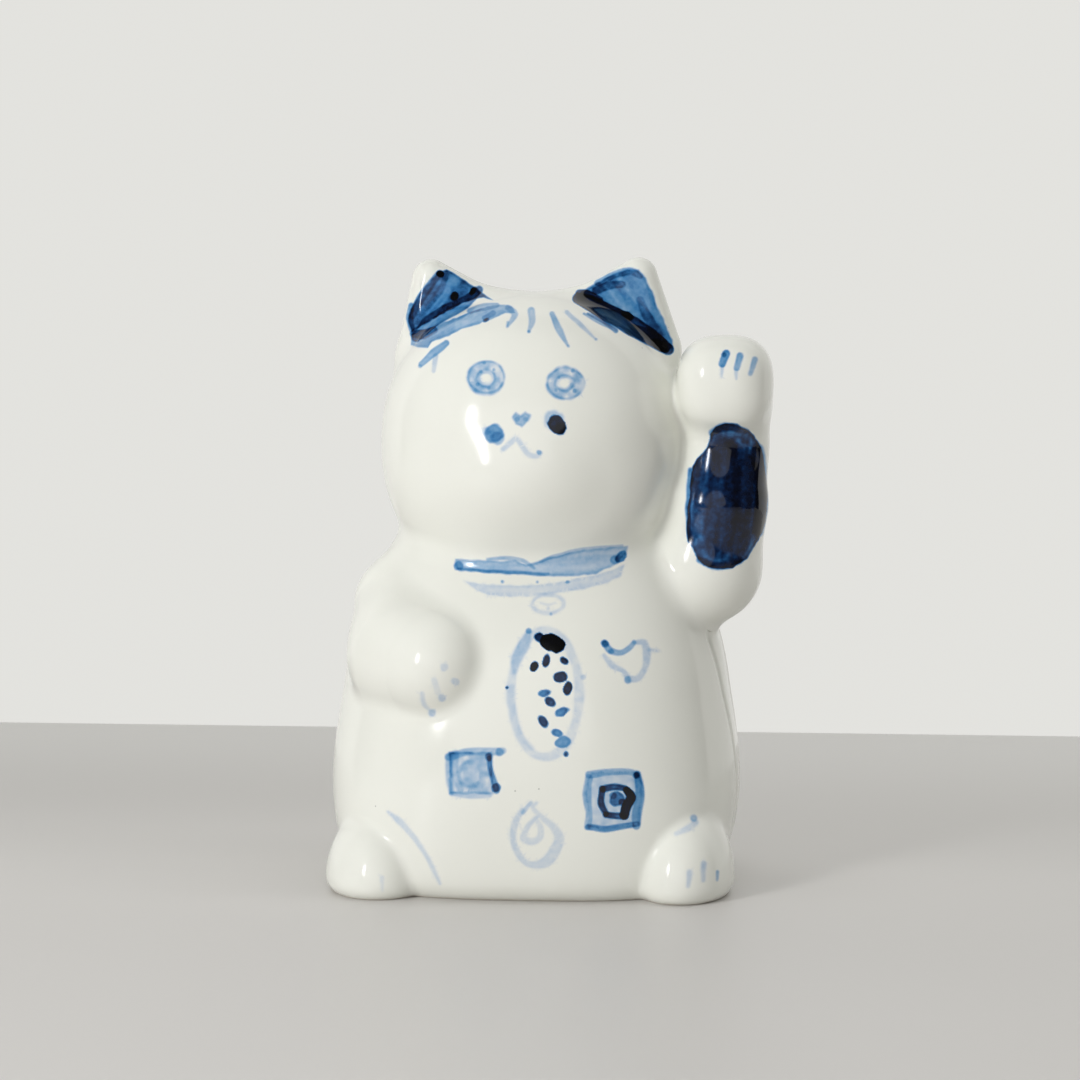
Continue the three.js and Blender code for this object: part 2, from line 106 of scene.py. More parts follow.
def round_cone(x, y, z, a, b, ra, rb):
    d = [b[i] - a[i] for i in range(3)]
    t = np.clip(((x - a[0]) * d[0] + (y - a[1]) * d[1] + (z - a[2]) * d[2]) / sum(c * c for c in d), 0, 1)
    px, py, pz = x - a[0] - d[0] * t, y - a[1] - d[1] * t, z - a[2] - d[2] * t
    return np.sqrt(px * px + py * py + pz * pz) - (ra + (rb - ra) * t)


def chain(x, y, z, nodes, k, grow=0.0):
    d = None
    for (a, ra), (b, rb) in zip(nodes[:-1], nodes[1:]):
        e = round_cone(x, y, z, a, b, ra + grow, rb + grow)
        d = e if d is None else smin(d, e, k)
    return d


def plate(x, y, z, p, r):
    A, B, C = (np.array(c, float) for c in p)
    ab, ac = B - A, C - A
    n = np.cross(ab, ac)
    nl = np.linalg.norm(n)
    dx, dy, dz = x - A[0], y - A[1], z - A[2]
    d00, d01, d11 = ab @ ab, ab @ ac, ac @ ac
    d20 = dx * ab[0] + dy * ab[1] + dz * ab[2]
    d21 = dx * ac[0] + dy * ac[1] + dz * ac[2]
    den = d00 * d11 - d01 * d01
    v, w = (d11 * d20 - d01 * d21) / den, (d00 * d21 - d01 * d20) / den
    u = 1 - v - w
    e = np.minimum(np.minimum(round_cone(x, y, z, A, B, r[0], r[1]), round_cone(x, y, z, B, C, r[1], r[2])),
                   round_cone(x, y, z, C, A, r[2], r[0]))
    flat = np.abs(dx * n[0] + dy * n[1] + dz * n[2]) / nl - (r[0] * u + r[1] * v + r[2] * w)
    return np.where((u < 0) | (v < 0) | (w < 0), e, np.minimum(e, flat))


@as_distance
def torso(x, y, z):
    a, n = table(z, "wide"), table(z, "power")
    b = np.where(y < 0, table(z, "front"), table(z, "back"))
    ring = (np.abs(x / a) ** n + np.abs(y / b) ** n + 1e-12) ** (1 / n)
    rise = np.maximum(z - 42.0, 0) / 43.0
    return (ring ** 2.1 + rise ** 2.1 + 1e-12) ** (1 / 2.1) - 1


@as_distance
def skull(x, y, z):
    dx, dy, dz = x + 0.4, y + 1.5, z - 90.0
    b, c = np.where(dy < 0, 30.5, 27.5), np.where(dz < 0, 31.0, 30.8)
    ring = (np.abs(dx / 31.4) ** 2.25 + np.abs(dy / b) ** 2.25 + 1e-12) ** (1 / 2.25)
    return (ring ** 2.2 + np.abs(dz / c) ** 2.2 + 1e-12) ** (1 / 2.2) - 1


def arm_form(x, y, z, grow=0.0):
    c, r = (39.2, -10.8, 102.9), [q + grow for q in (9.8, 10.8, 9.9)]
    q = (np.abs((x - c[0]) / r[0]) ** 2.6 + np.abs((y - c[1]) / r[1]) ** 2.6
         + np.abs((z - c[2]) / r[2]) ** 2.6 + 1e-12) ** (1 / 2.6)
    return smin(chain(x, y, z, ARM, 5, grow), (q - 1) * min(r), 3.6)


def cat(x, y, z):
    head = skull(x, y, z)
    for e in EARS:
        ear = smax(plate(x, y, z, e["p"], e["r"]), -plate(x, y, z, e["dish"], e["dr"]), 1.6)
        head = smin(head, ear, 5)
    head = smin(head, ellipsoid(x, y, z, (-0.4, -24, 85.5), (12.5, 8.5, 8.5)), 6)
    body = smin(torso(x, y, z), chain(x, y, z, FORELEG, 6), 2.0)
    paws = [ellipsoid(x, y, z, c, r) for c, r in HIND_PAWS]
    body = smin(body, np.minimum(paws[0], paws[1]), 1.5)
    body = smin(body, head, 3.6)
    body = smin(body, arm_form(x, y, z), 3.4)
    body = smin(body, chain(x, y, z, TAIL, 5), 3)
    return smax(body, -z - 0.6, 4)


def core(x, y, z):
    return smin(torso(x, y, z), skull(x, y, z), 7)


def cavity(x, y, z):
    return np.maximum(core(x, y, z) + WALL, -z - 6)


def slab_fill(x, y, z):
    return np.maximum(np.maximum(core(x, y, z) + WALL + SLAB_GAP, -z - 6), z - 12)


def arm_joint(x, y, z):
    return smax(arm_form(x, y, z, ARM_SOCKET), -core(x, y, z) - JOINT_DEPTH, 2)


def tail_joint(x, y, z):
    return smax(chain(x, y, z, TAIL, 5, TAIL_SOCKET), -core(x, y, z) - JOINT_DEPTH, 2)


# ------------------------------------------------------- field to closed mesh
def sample(f, lo, hi, h, block=4):
    """The field on a grid; exact near the surface, interpolated away from it."""
    n = [int(math.ceil((b - a) / (h * block))) * block for a, b in zip(lo, hi)]
    coarse = np.meshgrid(*[lo[i] + h * block * np.arange(n[i] // block + 1) for i in range(3)], indexing="ij")
    C = f(*[c.ravel() for c in coarse]).reshape(coarse[0].shape)
    F = C
    for ax in range(3):
        k = F.shape[ax] - 1
        a, b = F.take(range(k), ax), F.take(range(1, k + 1), ax)
        parts = [a * (1 - t / block) + b * (t / block) for t in range(block)]
        S = np.stack(parts, ax + 1)
        S = S.reshape(S.shape[:ax] + (k * block,) + S.shape[ax + 2:])
        F = np.concatenate([S, F.take([k], ax)], ax)
    near = np.nonzero(np.abs(F) < h * block * 1.3 + 1.0)
    P = [lo[i] + h * near[i] for i in range(3)]
    F[near] = f(*P)
    return F


def nets(f, lo, hi, h):
    """One corner per crossed cell, drawn onto the true surface; triangles face out."""
    F = sample(f, lo, hi, h)
    s = F < 0
    nx, ny, nz = F.shape
    acc, cnt = np.zeros((nx - 1, ny - 1, nz - 1, 3)), np.zeros((nx - 1, ny - 1, nz - 1))
    for a in [(i, j, k) for i in (0, 1) for j in (0, 1) for k in (0, 1)]:
        for ax in range(3):
            if a[ax]:
                continue
            b = tuple(1 if i == ax else a[i] for i in range(3))
            fa = F[a[0]:nx - 1 + a[0], a[1]:ny - 1 + a[1], a[2]:nz - 1 + a[2]]
            fb = F[b[0]:nx - 1 + b[0], b[1]:ny - 1 + b[1], b[2]:nz - 1 + b[2]]
            m = (fa < 0) != (fb < 0)
            t = np.where(m, fa / np.where(m, fa - fb, 1), 0)
            for q in range(3):
                acc[..., q] += np.where(m, a[q] + (t if q == ax else 0), 0)
            cnt += m
    act = cnt > 0
    idx = -np.ones(act.shape, np.int64)
    idx[act] = np.arange(act.sum())
    V = (np.stack(np.nonzero(act), -1) + acc[act] / cnt[act][:, None]) * h + np.array(lo)
    quads = []
    for ax in range(3):
        o = [q for q in range(3) if q != ax]
        s0, s1 = [slice(None)] * 3, [slice(None)] * 3
        s0[ax], s1[ax] = slice(0, -1), slice(1, None)
        for q in o:
            s0[q] = s1[q] = slice(1, -1)
        a, b = s[tuple(s0)], s[tuple(s1)]
        m = a != b
        ii = np.stack(np.nonzero(m), -1)
        ii[:, o[0]] += 1
        ii[:, o[1]] += 1

        def cell(d0, d1):
            c = ii.copy()
            c[:, o[0]] -= d0
            c[:, o[1]] -= d1
            return idx[c[:, 0], c[:, 1], c[:, 2]]
        q = np.stack([cell(0, 0), cell(1, 0), cell(1, 1), cell(0, 1)], -1)
        flip = a[m] if ax != 1 else ~a[m]
        q[~flip] = q[~flip][:, ::-1]
        quads.append(q)
    Q = np.concatenate(quads)
    V = project(f, V, 2)
    d1 = np.linalg.norm(V[Q[:, 0]] - V[Q[:, 2]], axis=1)
    d2 = np.linalg.norm(V[Q[:, 1]] - V[Q[:, 3]], axis=1)
    one = d1 <= d2
    T = np.concatenate([Q[one][:, [0, 1, 2]], Q[one][:, [0, 2, 3]], Q[~one][:, [1, 2, 3]], Q[~one][:, [1, 3, 0]]])
    return V, T


def gradient(f, V, e=0.04):
    x, y, z = V.T
    g = np.stack([f(x + e, y, z) - f(x - e, y, z), f(x, y + e, z) - f(x, y - e, z),
                  f(x, y, z + e) - f(x, y, z - e)], -1) / (2 * e)
    return g


def project(f, V, passes):
    for _ in range(passes):
        x, y, z = V.T
        e, v = 0.05, f(x, y, z)
        g = np.stack([f(x + e, y, z) - v, f(x, y + e, z) - v, f(x, y, z + e) - v], -1) / e
        V = V - 0.95 * (v / np.maximum((g * g).sum(1), 0.2))[:, None] * g
    return V


# ------------------------------------------------------------- joins and cuts
def to_object(name, V, T):
    me = bpy.data.meshes.new(name)
    me.vertices.add(len(V))
    me.vertices.foreach_set("co", np.ascontiguousarray(V, np.float32).ravel())
    me.loops.add(len(T) * 3)
    me.loops.foreach_set("vertex_index", np.ascontiguousarray(T, np.int32).ravel())
    me.polygons.add(len(T))
    me.polygons.foreach_set("loop_start", np.arange(0, len(T) * 3, 3, dtype=np.int32))
    me.update(calc_edges=True)
    me.validate()
    ob = bpy.data.objects.new(name, me)
    bpy.context.scene.collection.objects.link(ob)
    return ob


def arrays(me):
    me.calc_loop_triangles()
    V = np.empty(len(me.vertices) * 3, np.float32)
    me.vertices.foreach_get("co", V)
    T = np.empty(len(me.loop_triangles) * 3, np.int32)
    me.loop_triangles.foreach_get("vertices", T)
    return V.reshape(-1, 3).astype(float), T.reshape(-1, 3)


def cut(a, b, operation):
    """Solid a joined with, cut by or kept inside solid b."""
    A, B = to_object("a", *a), to_object("b", *b)
    mod = A.modifiers.new("cut", "BOOLEAN")
    mod.operation, mod.object, mod.solver = operation, B, "MANIFOLD"
    bpy.context.view_layer.update()
    out = A.evaluated_get(bpy.context.evaluated_depsgraph_get()).to_mesh()
    V, T = arrays(out)
    A.evaluated_get(bpy.context.evaluated_depsgraph_get()).to_mesh_clear()
    for o in (A, B):
        me = o.data
        bpy.data.objects.remove(o)
        bpy.data.meshes.remove(me)
    if not len(T):
        raise RuntimeError("a cut came out empty: " + operation)
    return clean(V, T)


def clean(V, T):
    """Weld, drop slivers of zero area, keep the largest body."""
    key = np.round(V / 2e-4).astype(np.int64)
    _, first, back = np.unique(key, axis=0, return_index=True, return_inverse=True)
    back = back.ravel()
    V, T = V[first], back[T]
    T = T[(T[:, 0] != T[:, 1]) & (T[:, 1] != T[:, 2]) & (T[:, 2] != T[:, 0])]
    label = np.arange(len(V))
    for _ in range(400):
        low = np.minimum(np.minimum(label[T[:, 0]], label[T[:, 1]]), label[T[:, 2]])
        new = label.copy()
        for c in range(3):
            np.minimum.at(new, T[:, c], low)
        new = new[new]
        if (new == label).all():
            break
        label = new
    values, count = np.unique(label[T[:, 0]], return_counts=True)
    T = T[label[T[:, 0]] == values[count.argmax()]]
    used, inv = np.unique(T, return_inverse=True)
    return V[used], inv.reshape(-1, 3)


def box_solid(lo, hi):
    V = np.array([[(lo, hi)[i][0], (lo, hi)[j][1], (lo, hi)[k][2]] for i in (0, 1) for j in (0, 1) for k in (0, 1)], float)
    T = np.array([[0, 1, 3], [0, 3, 2], [4, 6, 7], [4, 7, 5], [0, 4, 5], [0, 5, 1],
                  [2, 3, 7], [2, 7, 6], [0, 2, 6], [0, 6, 4], [1, 5, 7], [1, 7, 3]])
    return V, T


def tube_solid(radius, z0, z1, around=96):
    a = np.arange(around) * 2 * math.pi / around
    ring = np.stack([np.cos(a) * radius, np.sin(a) * radius], -1)
    V = np.concatenate([np.c_[ring, np.full(around, z0)], np.c_[ring, np.full(around, z1)], [[0, 0, z0], [0, 0, z1]]])
    i, j = np.arange(around), (np.arange(around) + 1) % around
    T = np.concatenate([np.c_[i, j, j + around], np.c_[i, j + around, i + around],
                        np.c_[np.full(around, 2 * around), j, i], np.c_[np.full(around, 2 * around + 1), i + around, j + around]])
    return V, T


def split_edges(V, T, wanted):
    """Halve every edge longer than wanted(midpoint, length); the mesh stays closed."""
    E = np.sort(np.concatenate([T[:, [0, 1]], T[:, [1, 2]], T[:, [2, 0]]]), 1)
    U, inv = np.unique(E[:, 0] * len(V) + E[:, 1], return_inverse=True)
    inv = inv.ravel()
    ends = np.stack([U // len(V), U % len(V)], -1)
    mid = V[ends].mean(1)
    length = np.linalg.norm(V[ends[:, 0]] - V[ends[:, 1]], axis=1)
    mark = length > wanted(mid, length)
    number = -np.ones(len(U), np.int64)
    number[mark] = len(V) + np.arange(mark.sum())
    m = number[inv].reshape(3, -1).T                     # the new corner on each side of each face
    k = (m >= 0).sum(1)
    out = [T[k == 0]]
    for c in range(3):
        a, b, d = T[:, c], T[:, (c + 1) % 3], T[:, (c + 2) % 3]
        e0, e1, e2 = m[:, c], m[:, (c + 1) % 3], m[:, (c + 2) % 3]
        s = (k == 1) & (e0 >= 0)
        out += [np.c_[a, e0, d][s], np.c_[e0, b, d][s]]
        s = (k == 2) & (e0 >= 0) & (e1 >= 0)
        out += [np.c_[e0, b, e1][s], np.c_[a, e0, e1][s], np.c_[a, e1, d][s]]
    s = k == 3
    out += [np.c_[T[:, 0], m[:, 0], m[:, 2]][s], np.c_[m[:, 0], T[:, 1], m[:, 1]][s],
            np.c_[m[:, 2], m[:, 1], T[:, 2]][s], np.c_[m[:, 0], m[:, 1], m[:, 2]][s]]
    return np.concatenate([V, mid[mark]]), np.concatenate(out), np.r_[np.zeros(len(V), bool), np.ones(mark.sum(), bool)]


# -------------------------------------------------------------- the brushwork
# Drawing coordinates: millimetres right and up on a plane square to the front
# view, through the belly. A stroke is a line with its widths, a filled outline,
# a round dab, or a ring. The number after the widths is how much pigment it
# holds: 0.4 a pale wash, 1 a mid blue, 4 nearly black.
EYE_AZ, EYE_EL, EYE_FAR = math.radians(5.0), math.radians(6.0), 850.0
AIM = np.array([0.6, 0.0, 69.6])
BACK = np.array([math.sin(EYE_AZ) * math.cos(EYE_EL), -math.cos(EYE_AZ) * math.cos(EYE_EL), math.sin(EYE_EL)])
RIGHT = np.array([math.cos(EYE_AZ), math.sin(EYE_AZ), 0.0])
UP = np.cross(BACK, RIGHT)
EYE = AIM + BACK * EYE_FAR
STROKES = [
    ('fill', [(-20.67, 55.6), (-23.15, 52.92), (-25.22, 50.43), (-26.66, 47.75), (-27.28, 45.06), (-26.46, 43.2), (-23.15, 45.06), (-19.43, 47.13), (-15.71, 49.19), (-11.58, 50.23), (-9.71, 49.61), (-10.75, 50.23), (-13.23, 52.09), (-16.12, 53.95), (-18.19, 55.4), (-19.43, 56.02)], 0, 1.25, {'dir': (-0.62, -0.78), 'streak': 0.5, 'edge': 0.35}),
    ('line', [(-12.61, 51.67), (-15.71, 48.99), (-19.43, 47.13), (-22.74, 45.06), (-25.63, 41.96)], [1.6, 2.6, 3.0, 3.0, 2.2], 1.05, {'streak': 0.3}),
    ('line', [(-20.67, 55.19), (-22.74, 52.5), (-24.8, 49.61), (-26.46, 46.3)], [1.2, 1.6, 1.8, 1.4], 0.75, {'streak': 0.3}),
    ('line', [(-19.22, 54.78), (-20.67, 51.67), (-23.56, 47.75)], [1.0, 1.4, 1.2], 0.3, {'streak': 0.5}),
    ('line', [(-26.66, 48.37), (-26.87, 45.89), (-26.46, 43.41)], [1.2, 1.6, 1.2], 0.7, {}),
    ('fill', [(-26.66, 42.58), (-26.66, 40.31), (-25.22, 39.89), (-23.15, 39.69), (-22.32, 40.93), (-20.05, 41.75), (-16.12, 43.61), (-10.96, 45.27), (-7.03, 46.92), (-4.96, 46.92), (-5.79, 48.16), (-8.27, 48.78), (-12.4, 47.95), (-16.95, 46.09), (-21.5, 44.44), (-24.8, 43.2)], 0, 0.72, {'dir': (-0.9, -0.42), 'streak': 0.55, 'edge': 0.25}),
    ('line', [(-26.04, 42.58), (-23.98, 42.58), (-21.91, 43.41)], [1.8, 2.2, 1.6], 0.9, {}),
    ('line', [(-14.47, 47.33), (-11.58, 48.16), (-8.89, 48.57)], [1.2, 1.6, 1.0], 0.5, {}),
    ('line', [(-11.58, 45.89), (-9.71, 46.92)], [0.9, 1.2], 0.5, {}),
    ("blob", [(-20.67, 54.98)], 0.62, 4.6, {}),
    ("blob", [(-17.67, 50.43)], 0.8, 4.4, {'stretch': (0.6, 0.8, 1.15)}),
    ("blob", [(-13.85, 51.47)], 0.6, 4.0, {'stretch': (0.5, 0.85, 1.8)}),
    ("blob", [(-11.16, 45.47)], 0.5, 1.2, {'stretch': (0.9, 0.4, 1.6)}),
    ('fill', [(17.98, 56.02), (15.09, 54.98), (11.99, 53.33), (9.51, 51.88), (8.06, 51.05), (7.65, 49.4), (10.13, 47.33), (12.61, 45.89), (15.3, 44.65), (18.4, 42.79), (21.5, 40.93), (24.8, 39.27), (26.46, 38.86), (27.28, 40.1), (27.28, 41.34), (26.46, 43.41), (25.42, 45.89), (24.18, 48.37), (23.15, 51.47), (21.7, 54.16), (20.26, 55.6)], 0, 1.0, {'dir': (0.62, -0.78), 'streak': 0.5, 'edge': 0.2, 'soft': 0.26}),
    ('line', [(7.85, 50.02), (10.33, 48.99), (13.23, 47.33), (16.12, 45.89), (19.43, 44.03), (22.74, 41.96), (26.46, 39.48)], [2.2, 3.2, 3.6, 3.8, 4.0, 3.6, 2.4], 1.9, {'streak': 0.35}),
    ('line', [(8.06, 51.05), (9.92, 50.85), (12.4, 49.61)], [1.4, 1.6, 1.2], 1.6, {}),
    ('line', [(11.99, 53.12), (14.88, 54.57), (18.19, 55.6), (20.67, 54.57)], [1.4, 1.6, 1.6, 1.2], 0.55, {'streak': 0.3}),
    ('line', [(11.58, 51.47), (14.06, 52.5), (16.95, 52.92)], [1.6, 1.8, 1.4], 0.8, {}),
    ('line', [(19.02, 43.41), (21.7, 42.79), (25.22, 40.93)], [2.2, 2.4, 2.0], 1.1, {}),
    ('line', [(20.67, 49.61), (22.32, 45.89), (24.8, 42.58)], [1.6, 2.0, 1.4], 0.45, {'streak': 0.5}),
    ("blob", [(17.98, 46.51)], 0.95, 3.6, {'stretch': (0.85, -0.5, 1.8)}),
    ("blob", [(24.8, 40.31)], 1.35, 4.2, {'stretch': (0.85, -0.5, 1.9)}),
    ("blob", [(8.47, 50.23)], 0.95, 2.2, {}),
    ('line', [(9.92, 46.71), (12.82, 45.27), (15.71, 43.2)], [0.5, 0.7, 0.9], 0.9, {}),
    ('line', [(-6.61, 47.95), (-5.17, 46.71), (-6.61, 44.23)], [1.1, 1.3, 0.5], 0.32, {}),
    ('line', [(-6.61, 45.06), (-6.82, 44.03)], [0.5, 0.5], 0.3, {}),
    ('line', [(-1.86, 47.33), (-1.65, 45.06), (-2.27, 43.2)], [1.5, 1.3, 0.6], 0.3, {}),
    ("blob", [(-2.27, 42.99)], 0.3, 0.4, {}),
    ('line', [(2.48, 46.71), (4.13, 43.2), (5.58, 40.51)], [1.0, 1.4, 0.6], 0.36, {}),
    ("blob", [(5.79, 40.1)], 0.3, 0.4, {}),
    ('line', [(5.58, 47.13), (8.68, 44.23), (11.37, 41.75)], [0.9, 0.9, 0.4], 0.2, {}),
    ("blob", [(11.58, 41.55)], 0.25, 0.3, {}),
    ('line', [(9.09, 46.71), (12.4, 45.06), (15.71, 43.41)], [0.5, 0.9, 0.8], 0.4, {}),
    ('line', [(-19.43, 40.72), (-21.91, 38.65), (-24.6, 36.38)], [1.2, 1.7, 1.1], 0.5, {'streak': 0.4}),
    ('line', [(-21.5, 38.03), (-21.91, 34.93)], [1.1, 0.8], 0.16, {}),
    ("blob", [(-24.8, 35.97)], 0.4, 0.35, {}),
    ("ring", [(-11.16, 33.49)], (2.9, 2.5), 0.32, {'mottle': 0.9, 'soft': 0.36, 'wide': 2.0}),
    ("ring", [(-11.16, 33.49)], (1.6, 1.4), 0.18, {'mottle': 0.9, 'soft': 0.25, 'wide': 0.9}),
    ("ring", [(-11.06, 33.69)], (3.7, 3.2), 0.2, {'mottle': 1.0, 'wide': 0.45}),
    ("blob", [(-12.2, 34.73)], 0.35, 0.3, {}),
    ("blob", [(-12.82, 32.25)], 0.4, 0.3, {}),
    ("blob", [(-9.51, 35.14)], 0.3, 0.3, {}),
    ("blob", [(-10.54, 31.42)], 0.35, 0.25, {}),
    ("blob", [(-11.58, 36.59)], 0.3, 0.35, {}),
    ("ring", [(5.17, 32.45)], (2.9, 2.4), 0.32, {'mottle': 0.9, 'soft': 0.36, 'wide': 2.0}),
    ("ring", [(5.17, 32.45)], (1.5, 1.4), 0.2, {'mottle': 0.9, 'soft': 0.25, 'wide': 0.9}),
    ("ring", [(5.37, 32.35)], (3.8, 3.1), 0.2, {'mottle': 1.0, 'wide': 0.45}),
    ("blob", [(6.82, 34.93)], 0.4, 0.35, {}),
    ("blob", [(7.23, 30.8)], 0.4, 0.3, {}),
    ("blob", [(3.93, 33.69)], 0.3, 0.25, {}),
    ("blob", [(3.31, 31.0)], 0.35, 0.25, {}),
    ('fill', [(-5.79, 25.42), (-4.96, 26.35), (-4.03, 25.73), (-3.1, 26.56), (-2.07, 25.84), (-2.48, 24.6), (-3.82, 23.36), (-5.06, 23.98)], 0, 0.42, {'soft': 0.3, 'edge': 0.3}),
    ("blob", [(-4.75, 25.01)], 0.5, 0.3, {}),
    ("blob", [(-3.1, 25.01)], 0.5, 0.2, {}),
    ("blob", [(-9.51, 21.91)], 1.85, 0.78, {'soft': 0.3}),
    ("blob", [(-8.89, 21.08)], 1.3, 0.35, {'soft': 0.3}),
    ("blob", [(-11.16, 22.53)], 0.9, 0.2, {'soft': 0.35}),
    ("blob", [(3.51, 23.77)], 1.8, 2.7, {'soft': 0.2, 'stretch': (0.5, -0.86, 1.22)}),
    ("blob", [(4.13, 22.94)], 1.1, 0.9, {'soft': 0.3}),
    ("blob", [(2.89, 24.6)], 2.0, 0.3, {'soft': 0.5}),
    ('line', [(-7.65, 18.81), (-6.2, 20.05), (-4.96, 20.88), (-3.72, 19.43), (-2.27, 17.57), (-0.62, 17.36), (0.0, 17.98)], [0.9, 1.1, 1.0, 1.0, 1.1, 1.0, 0.8], 0.15, {'soft': 0.3}),
    ("blob", [(-0.21, 18.09)], 0.5, 0.4, {}),
    ('fill', [(-17.36, -3.93), (-14.47, -4.13), (-11.37, -4.13), (-8.27, -4.34), (-5.17, -4.13), (-2.89, -4.96), (-1.03, -4.55), (2.07, -3.72), (5.17, -2.89), (8.68, -2.27), (12.4, -1.86), (15.3, -1.45), (18.19, -1.24), (17.78, -3.1), (16.12, -4.75), (13.64, -5.99), (11.37, -7.03), (7.23, -7.44), (2.07, -7.44), (-1.03, -7.23), (-6.2, -7.03), (-12.4, -6.61), (-16.54, -6.41), (-17.57, -5.37)], 0, 0.36, {'dir': (1, 0.06), 'streak': 0.5, 'edge': 0.5, 'soft': 0.24}),
    ('line', [(-16.95, -5.99), (-11.37, -6.41), (-5.79, -6.61), (-0.62, -7.03), (1.65, -7.03)], [0.5, 0.7, 0.7, 0.8, 0.5], 0.4, {}),
    ('line', [(-10.96, -3.93), (-7.23, -3.72), (-3.72, -4.13), (-1.24, -5.79)], [0.5, 0.8, 0.8, 0.6], 0.3, {}),
    ('line', [(0.0, -4.55), (3.31, -3.31), (7.23, -2.27), (12.4, -1.65), (16.95, -1.24)], [0.5, 0.8, 0.7, 0.8, 0.6], 0.25, {}),
    ("blob", [(-16.74, -5.37)], 1.0, 0.55, {}),
    ("blob", [(16.74, -3.51)], 1.1, 1.0, {'stretch': (0.55, 0.83, 1.4)}),
    ("blob", [(15.5, -4.13)], 0.9, 0.4, {}),
    ('fill', [(-15.71, -8.47), (-12.4, -9.09), (-4.13, -9.51), (4.13, -8.68), (12.4, -7.03), (17.36, -5.17), (16.74, -7.44), (14.06, -8.89), (7.85, -10.33), (1.03, -11.37), (-5.17, -11.78), (-10.75, -11.37), (-13.64, -10.13)], 0, 0.13, {'dir': (1, 0.06), 'streak': 0.4, 'edge': 0.6, 'soft': 0.3}),
    ("blob", [(-7.85, -8.68)], 0.3, 0.5, {}),
    ("blob", [(-0.62, -8.68)], 0.25, 0.35, {}),
    ("blob", [(5.79, -8.68)], 0.35, 0.5, {'stretch': (1, 0, 1.5)}),
    ("ring", [(1.65, -13.23)], (3.2, 1.9), 0.12, {'mottle': 0.4, 'soft': 0.34, 'wide': 0.8}),
    ('line', [(0.21, -13.02), (1.65, -13.44), (3.1, -13.02)], [0.4, 0.5, 0.4], 0.08, {'soft': 0.3}),
    ("blob", [(1.65, -14.16)], 0.3, 0.12, {'soft': 0.3}),
    ("blob", [(2.27, -15.3)], 0.3, 0.3, {}),
    ("ring", [(1.03, -31.83)], (7.1, 13.0), 0.105, {'mottle': 0.4, 'soft': 0.4, 'wide': 1.8}),
    ('line', [(-2.27, -19.22), (-3.31, -21.7), (-4.75, -24.39), (-5.37, -27.28)], [1.2, 2.6, 2.4, 1.0], 0.2, {'soft': 0.4}),
    ("blob", [(-2.27, -18.81)], 0.6, 0.45, {}),
    ("blob", [(-6.82, -30.59)], 0.25, 2.2, {}),
    ("blob", [(8.89, -28.32)], 0.5, 0.15, {}),
    ('line', [(-5.99, -30.59), (-5.58, -35.55), (-4.13, -40.31), (-1.65, -42.99)], [1.4, 1.6, 1.4, 1.0], 0.07, {'soft': 0.4}),
    ("blob", [(2.48, -21.29)], 2.05, 5.6, {'stretch': (0.92, -0.36, 1.5)}),
    ("blob", [(0.0, -20.26)], 1.0, 2.4, {'stretch': (0.8, -0.5, 1.3)}),
    ("blob", [(-1.24, -26.25)], 0.85, 4.2, {'stretch': (0.5, 0.86, 1.4)}),
    ("blob", [(1.24, -25.01)], 0.95, 2.6, {'stretch': (0.2, 0.97, 1.9)}),
    ("blob", [(4.96, -25.01)], 0.75, 2.4, {'stretch': (0.8, -0.6, 1.5)}),
    ("blob", [(4.13, -28.32)], 1.25, 2.4, {'stretch': (0.95, 0.2, 1.4)}),
    ("blob", [(5.79, -30.59)], 1.1, 2.9, {'stretch': (0.3, 0.95, 1.6)}),
    ("blob", [(0.83, -31.63)], 0.9, 1.2, {'stretch': (0.9, 0.2, 1.9)}),
    ("blob", [(2.07, -33.49)], 1.0, 1.9, {'stretch': (0.75, -0.66, 1.5)}),
    ("blob", [(4.55, -35.55)], 1.1, 1.2, {'stretch': (0.9, 0.4, 1.9)}),
    ("blob", [(0.62, -37.62)], 1.0, 1.9, {'stretch': (0.5, -0.85, 1.6)}),
    ("blob", [(3.51, -39.89)], 0.9, 1.1, {'stretch': (0.9, -0.3, 1.7)}),
    ("blob", [(4.75, -41.75)], 1.3, 0.8, {'stretch': (0.9, 0.3, 1.4)}),
    ("blob", [(5.37, -44.23)], 0.55, 1.6, {}),
    ('line', [(13.23, -21.29), (14.47, -22.74), (16.54, -23.36), (18.19, -22.53), (19.43, -21.08)], [1.3, 1.5, 1.2, 1.1, 0.9], 0.42, {}),
    ("blob", [(13.44, -21.5)], 0.8, 0.8, {}),
    ("blob", [(14.68, -22.94)], 0.6, 0.5, {}),
    ('line', [(19.43, -21.08), (21.5, -21.29), (22.12, -23.77), (21.7, -26.46), (20.26, -28.52), (18.4, -28.73)], [0.8, 1.3, 1.6, 1.2, 1.3, 1.4], 0.17, {'soft': 0.26}),
    ('line', [(18.19, -28.94), (17.16, -27.08), (14.88, -25.84), (13.23, -23.77)], [1.4, 0.9, 1.2, 0.7], 0.17, {'soft': 0.26}),
    ("blob", [(17.98, -28.94)], 0.7, 0.25, {}),
    ('line', [(22.74, -22.74), (24.39, -22.94)], [0.7, 0.6], 0.13, {'soft': 0.3}),
    ('fill', [(-18.81, -43.82), (-9.92, -43.82), (-9.51, -52.5), (-18.81, -52.5)], 0, 0.3, {'streak': 0.45, 'dir': (0.2, 1.0), 'edge': 0.9, 'mottle': 0.8, 'soft': 0.3}),
    ('line', [(-18.81, -44.85), (-14.88, -43.82), (-10.33, -43.82), (-7.65, -43.61)], [1.6, 1.4, 1.7, 1.4], 0.3, {'soft': 0.24}),
    ("blob", [(-10.54, -44.85)], 0.75, 0.8, {}),
    ("blob", [(-8.27, -43.82)], 0.8, 0.45, {}),
